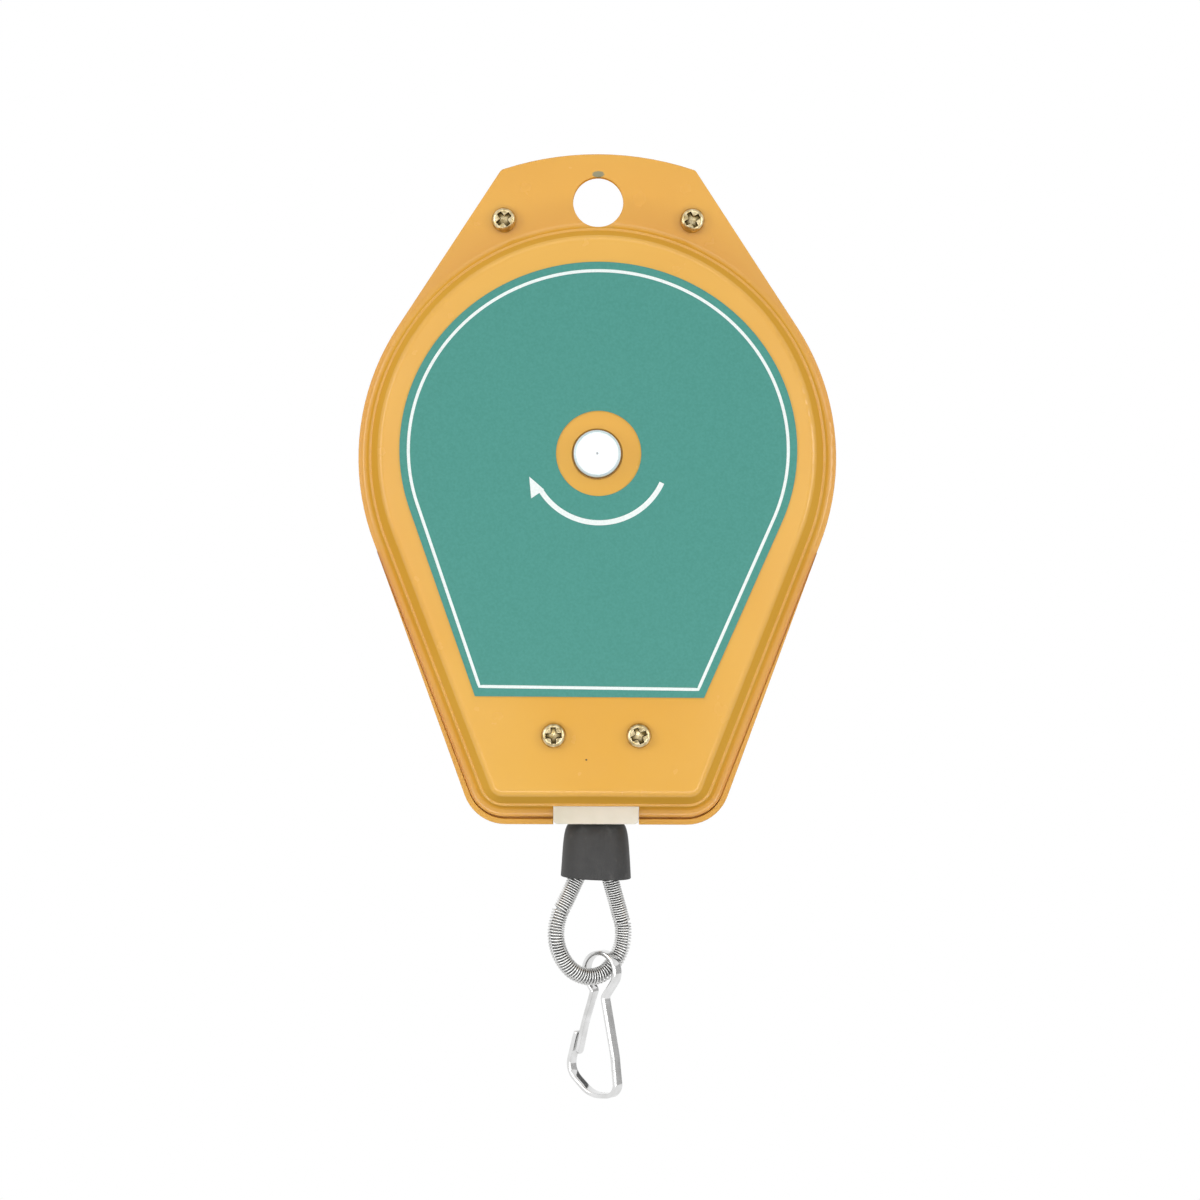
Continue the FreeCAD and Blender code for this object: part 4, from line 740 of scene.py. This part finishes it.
def arc(across, up, radius, first, last, count=7):
    """Points of an arc between two angles in degrees."""
    return [(across + radius * math.cos(math.radians(a)), up + radius * math.sin(math.radians(a)))
            for a in np.linspace(first, last, count)]

def build_stopper():
    top, foot = STOP_TOP, STOP_FOOT
    profile = [(1.24, top - 1.55), (1.24, top - 0.2), (1.5, top), *arc(5.75, top - 0.5, 0.5, 90, 25),
               (6.5, top - 0.8), (6.75, top - 1.5), (6.95, top - 2.4), (7.1, top - 3.4), (7.24, top - 4.8),
               (7.36, top - 6.4), (7.48, top - 8.2), (7.58, top - 9.8),
               *arc(7.45, foot + 0.25, 0.25, 10, -90, 4), *arc(6.15, foot + 0.25, 0.25, 270, 190, 4),
               (3.32, foot + 4.9), (3.32, top - 1.6)]
    rings = np.array(spun(profile))
    low = np.clip((top - 8 - rings[..., 2]) / 3.5, 0, 1)
    rings[..., 2] -= STOP_SLANT * rings[..., 0] * low
    return skin(rings, caps=False, closed=True)


add_piece("rubber_stop", [build_stopper()], rubber, "rope_end", ["stopper"])

# %% [markdown]
# ## Mark of the lathe centre
# The shaft was held on a lathe's centre, which left a small mark in its faced end. It is drawn as a
# tiny raised disc of duller metal, because the solid's own face may not be changed.

# %% Centre mark
SHAFT_END = -21.0

mark = np.array(spun([(0.26, 0.0), (0.2, 0.012), (0.08, 0.004)], 24))
mark = np.stack((mark[..., 0], SHAFT_END - mark[..., 2], -SHAFT_DROP + mark[..., 1]), axis=-1)
add_piece("shaft_centre_mark", [skin(mark)], aluminium, "winding_arbor")

# %% [markdown]
# ## Cross-head screws
# The head is one skin of rings. Its height falls off over the rounded rim, and drops into the cross
# recess where a ring's point lies inside one of its arms. The recess narrows as it goes down. Cutting
# the cross with a boolean would leave long thin faces that shade badly.

# %% Screw head

HEAD_RADIUS = 2.7
HEAD_HEIGHT = 1.9
SHANK_RADIUS = 1.5
RECESS_REACH = 1.75


def smooth(share):
    share = min(1, max(0, share))
    return share * share * (3 - 2 * share)


def recess(x, y):
    """Depth of the cross recess at a point of the head."""
    arm, cross = max(abs(x), abs(y)), min(abs(x), abs(y))
    sides = min((0.6 - 0.06 * arm - cross) / 0.14, (RECESS_REACH - arm) / 0.2)
    middle = (1.3 - arm - cross) / 0.2
    return 1.3 * smooth(max(sides, middle)) * (1 - 0.25 * arm / RECESS_REACH)


def crown(radius):
    """Height of the plain head over its seat."""
    share = min(1, radius / HEAD_RADIUS)
    shoulder = max(0, (share - 0.6) / 0.4)
    return HEAD_HEIGHT - 0.12 * share ** 2 - 1.05 * (1 - math.sqrt(1 - shoulder ** 2))

print("depth of the recess in its middle:", recess(0, 0), "and height of the head:", crown(0))

# %% [markdown]
# ## Screws in place
# Two short screws hold the lug, and two long ones go through the body. Each was tightened by hand, so
# each cross stands at its own angle. A screw reaches through what it holds and through its nut, and
# ends a little beyond.

# %% Screws
SHEETS = 2.4
NUT_HEIGHT = 2.4
TIP = 0.8
BODY_DEPTH = 36
# Name, node, distance from the middle line, drop, seat, angles of the left and right cross, length.
SCREW_PAIRS = [
    ("lug_screws", "top_screws", 20.6, 4.0, -1.2, (38, 28), SHEETS + NUT_HEIGHT + TIP),
    ("body_screws", "bottom_screws", 9.1, 116.0, -18, (2, 24), BODY_DEPTH + NUT_HEIGHT + TIP),
]

def screw(across, drop, seat, turn, length):
    """A screw whose head looks to -Y. Seat is the y under the head."""
    radii = [*np.linspace(0.04, 1.85, 36), 2.0, 2.15, 2.3, 2.42, 2.52, 2.6, 2.66, HEAD_RADIUS]
    angles = np.arange(96) * 2 * math.pi / 96
    rings = []
    for radius in radii:
        ring = []
        for a in angles:
            x, y = radius * math.cos(a), radius * math.sin(a)
            height = crown(radius) - (recess(x, y) if radius < 1.9 else 0)
            ring.append((x, y, height))
        rings.append(ring)
    rings += spun([(HEAD_RADIUS, 0.0), (SHANK_RADIUS, 0.0), (SHANK_RADIUS, -length + 0.25),
                   (SHANK_RADIUS - 0.25, -length)], 96)
    rings = np.array(rings)
    turn = math.radians(turn)
    x, y, z = rings[..., 0], rings[..., 1], rings[..., 2]
    return skin(np.stack((across + x * math.cos(turn) - y * math.sin(turn), seat - z,
                          -drop + x * math.sin(turn) + y * math.cos(turn)), axis=-1))


for name, node, across, drop, seat, (left_turn, right_turn), length in SCREW_PAIRS:
    pair = [screw(-across, drop, seat, left_turn, length), screw(across, drop, seat, right_turn, length)]
    add_piece(name, pair, yellow_zinc, "housing", [node])

# %% [markdown]
# ## Printed foil
# The foil is a flat plate under an arch whose sides run straight on to two lower corners, with a round
# opening for the shaft's ring. On this sample it lies about two degrees askew and its sides are cut
# unevenly, so the corners are given one by one. Subtracting a disc would need a boolean; a ring of
# quads between edge and opening does the same and shades evenly.

# %% Foil outline
FOIL_FRONT = -18.3
FOIL_BACK = -18.0
ARCH_CENTRE = np.array((0.23, -55.1))
ARCH_SIZE = np.array((42.4, 40.1))
OPENING_CENTRE = np.array((0.3, -55.85))
OPENING_RADIUS = 9.1
FOIL_LEFT = np.array((-25.9, -107.7))
FOIL_RIGHT = np.array((22.95, -107.9))


def label_outline(inset, left, right):
    """A closed flat path: the arch, and straight sides to the two lower corners."""
    size = ARCH_SIZE - inset
    ends = []
    for corner, side in ((left, -1), (right, 1)):
        x, z = (corner - ARCH_CENTRE) / size
        ends.append(math.atan2(z, x) + side * math.acos(1 / math.hypot(x, z)))
    angles = np.linspace(ends[0] + 2 * math.pi, ends[1], 160)
    arch = ARCH_CENTRE + size * np.stack((np.cos(angles), np.sin(angles)), axis=1)
    share = np.linspace(0, 1, 60)[1:-1, None]
    return np.concatenate((arch, arch[-1] + (right - arch[-1]) * share, [right], right + (left - right) * share,
                           [left], left + (arch[0] - left) * share))


def build_foil():
    """The foil, a flat plate between its edge and the round opening for the shaft's ring."""
    edge = label_outline(0, FOIL_LEFT, FOIL_RIGHT)
    way = edge - OPENING_CENTRE
    opening = OPENING_CENTRE + OPENING_RADIUS * way / np.linalg.norm(way, axis=1)[:, None]
    rings = [[(*a, FOIL_FRONT), (*b, FOIL_FRONT), (*b, FOIL_BACK), (*a, FOIL_BACK)]
             for a, b in zip(edge, opening)]
    return skin(np.array(rings)[..., (0, 2, 1)], closed=True)


add_piece("label_foil", [build_foil()], foil, "housing", ["label_plate"])

# %% [markdown]
# ## Border line and arrow
# The ink is a film a few hundredths of a millimetre thick: a line inside the edge of the foil, and an
# arrow that shows which way to wind. Print could be a texture, but a film of its own stays sharp at
# every distance and takes the light as ink does.

# %% Print
INK_FRONT = -18.34
INK_BACK = -18.29
BORDER_INSET = 1.9
BORDER_WIDTH = 0.65
BORDER_LEFT = np.array((-24.95, -105.6))
BORDER_RIGHT = np.array((21.7, -106.1))
ARROW_CENTRE = np.array((0.44, -55.94))
ARROW_RADIUS = 14.7
ARROW_WIDTH = 1.1
ARROW_HEAD = [(-14.47, -60.84), (-14.05, -65.5), (-11.28, -63.6)]

def band(path, width, closed=False):
    """A printed line of that width along a flat path."""
    way = np.gradient(path, axis=0)
    if closed:
        way = np.roll(path, -1, axis=0) - np.roll(path, 1, axis=0)
    way /= np.linalg.norm(way, axis=1)[:, None]
    side = np.stack((-way[:, 1], way[:, 0]), axis=1) * width / 2
    rings = [[(*(p + s), INK_FRONT), (*(p - s), INK_FRONT), (*(p - s), INK_BACK), (*(p + s), INK_BACK)]
             for p, s in zip(path, side)]
    return skin(np.array(rings)[..., (0, 2, 1)], closed=closed)

def build_arrow():
    """A line round the shaft with a head at its left end, clockwise as seen from the front."""
    angles = np.radians(np.linspace(-24.6, -147, 60))
    line = ARROW_CENTRE + ARROW_RADIUS * np.stack((np.cos(angles), np.sin(angles)), axis=1)
    points = [(x, y, z) for x, z in ARROW_HEAD for y in (INK_FRONT, INK_BACK)]
    faces = [(0, 2, 4), (5, 3, 1), (0, 1, 3, 2), (2, 3, 5, 4), (4, 5, 1, 0)]
    return [band(line, ARROW_WIDTH), (points, faces)]


border = label_outline(BORDER_INSET, BORDER_LEFT, BORDER_RIGHT)
add_piece("label_print", [band(border, BORDER_WIDTH, closed=True), *build_arrow()], ink, "housing")

# %% [markdown]
# ## A white background that gives little light
# The photograph is cut out on white. A white room would light the object flat and take all shape from
# it, so the room is dimmer than it looks: rays from the camera, and those that mirrors and glass
# send on, see white, and all others find a plain pale room.

# %% Rays to the background
ROOM_LEVEL = 0.6


def backdrop_rays(tree):
    """1 for rays that come from the camera or by a mirror or glass, which see the white background."""
    paths = add_node(tree, "ShaderNodeLightPath").outputs
    seen = add_node(tree, "ShaderNodeMath", links={0: paths["Is Camera Ray"], 1: paths["Is Glossy Ray"]},
                    operation="MAXIMUM")
    return add_node(tree, "ShaderNodeMath", links={0: seen, 1: paths["Is Transmission Ray"]},
                    operation="MAXIMUM")


def make_world():
    """An even pale room, and white where the camera or a mirror looks past the object."""
    world = bpy.data.worlds.new("studio")
    bpy.context.scene.world = world
    world.use_nodes = True
    tree = world.node_tree
    back = tree.nodes["Background"]
    back.inputs["Color"].default_value = (1, 1, 1, 1)
    strength = add_node(tree, "ShaderNodeMapRange", {"To Min": ROOM_LEVEL, "To Max": 1.0},
                        {"Value": backdrop_rays(tree)})
    join(tree, back, {"Strength": strength})
    return world


print("world:", make_world().name)

# %% [markdown]
# ## Floor
# The floor is pale matt paper. It lies below the hook at its full pull, so that the rope can pay out,
# and it takes the soft shadow. Nearly all of what the camera sees of it is white, like the room.

# %% Floor
FLOOR_DROP = (ROPE_TRAVEL + 60) * MM
PAPER_WHITE = 0.97


def make_paper():
    """Paper that the camera sees as white; as a surface it is pale, and a shadow stays on it."""
    material, tree, shader = new_material("pale_paper", Roughness=0.9, Base_Color=linear("E8E8E6"))[:3]
    white = add_node(tree, "ShaderNodeEmission", {"Color": (1, 1, 1, 1), "Strength": 1.0})
    share = add_node(tree, "ShaderNodeMath", {1: PAPER_WHITE}, {0: backdrop_rays(tree)}, operation="MULTIPLY")
    both = add_node(tree, "ShaderNodeMixShader", links={0: share, 1: shader, 2: white})
    join(tree, tree.nodes["Material Output"], {"Surface": both})
    return material


def add_sheet(name, corners, material):
    """A flat sheet that belongs to the studio and not to the object."""
    mesh = bpy.data.meshes.new(name)
    mesh.from_pydata(corners, [], [(0, 1, 2, 3)])
    mesh.materials.append(material)
    sheet = bpy.data.objects.new(name, mesh)
    bpy.context.scene.collection.objects.link(sheet)
    return sheet


floor_height = cad_box[0].z - FLOOR_DROP
floor_corners = [(x, y, floor_height) for x, y in ((-3, -3), (3, -3), (3, 3), (-3, 3))]
add_sheet("floor", floor_corners, make_paper())
print("height of the floor:", round(floor_height, 3))

# %% [markdown]
# ## Lamps
# Softboxes at both sides draw the long soft edges of the pressings, one above the camera lights the
# face, and small panels and a strip put the highlights on the hook. Large lamps give soft shadows.

# %% Lamps
AIM = Vector((0, 0, -0.09))
# Name, place, width and height in metres, power in watts.
LAMPS = [
    ("softbox_left", (-0.8, -0.55, 0.05), (0.25, 0.7), 2.1),
    ("softbox_right", (0.8, -0.6, 0.0), (0.2, 0.6), 1.7),
    ("softbox_front", (0.0, -0.8, 0.66), (1.0, 0.42), 1.5),
    ("strip_low", (0.0, -0.4, -0.25), (0.5, 0.06), 0.4),
    ("panel_left", (-0.25, -1.1, -0.03), (0.3, 0.34), 0.4),
    ("panel_right", (0.26, -1.1, -0.03), (0.3, 0.34), 0.4),
]

for name, place, size, power in LAMPS:
    data = bpy.data.lights.new(name, "AREA")
    data.shape = "RECTANGLE"
    data.size, data.size_y = size
    data.energy = power
    lamp = bpy.data.objects.new(name, data)
    lamp.location = place
    lamp.rotation_euler = (AIM - lamp.location).to_track_quat("-Z", "Y").to_euler()
    lamp.visible_camera = False
    bpy.context.scene.collection.objects.link(lamp)
print("lamps:", len(LAMPS), "with", round(sum(lamp[3] for lamp in LAMPS), 1), "watts")

# %% [markdown]
# ## Cloths and cards
# Polished metal shows what stands round it. In a white room it would have no dark lines at all, so
# black and grey cloths and a pale card hang where the nickel and zinc mirror them. The camera doesn't
# see them.

# %% Cloths and cards
# Name, colour, and the two opposite corners in metres; one of the three sizes is nothing.
CLOTHS = [
    ("flag_low", "1C1C1C", (-0.14, -1.0, -0.25), (0.14, -0.45, -0.25)),
    ("flag_front", "1C1C1C", (-0.06, -1.15, -0.26), (0.06, -1.15, 0.0)),
    ("flag_back", "6A6A6A", (0.25, 0.45, 0.02), (0.6, 0.45, 0.42)),
    ("card_right", "E0E0E0", (0.5, 0.02, -0.26), (0.5, 0.4, 0.0)),
]

for name, colour, (x, y, z), (far_x, far_y, far_z) in CLOTHS:
    # The sheet goes along X first, or along Y where it has no width.
    second = (far_x, y, z) if far_x != x else (x, far_y, z)
    fourth = (x, far_y, z) if z == far_z else (x, y, far_z)
    cloth = new_material(name + "_cloth", Roughness=0.95, Base_Color=linear(colour))[0]
    sheet = add_sheet(name, [(x, y, z), second, (far_x, far_y, far_z), fourth], cloth)
    sheet.visible_camera = False
print("cloths and cards:", len(CLOTHS))
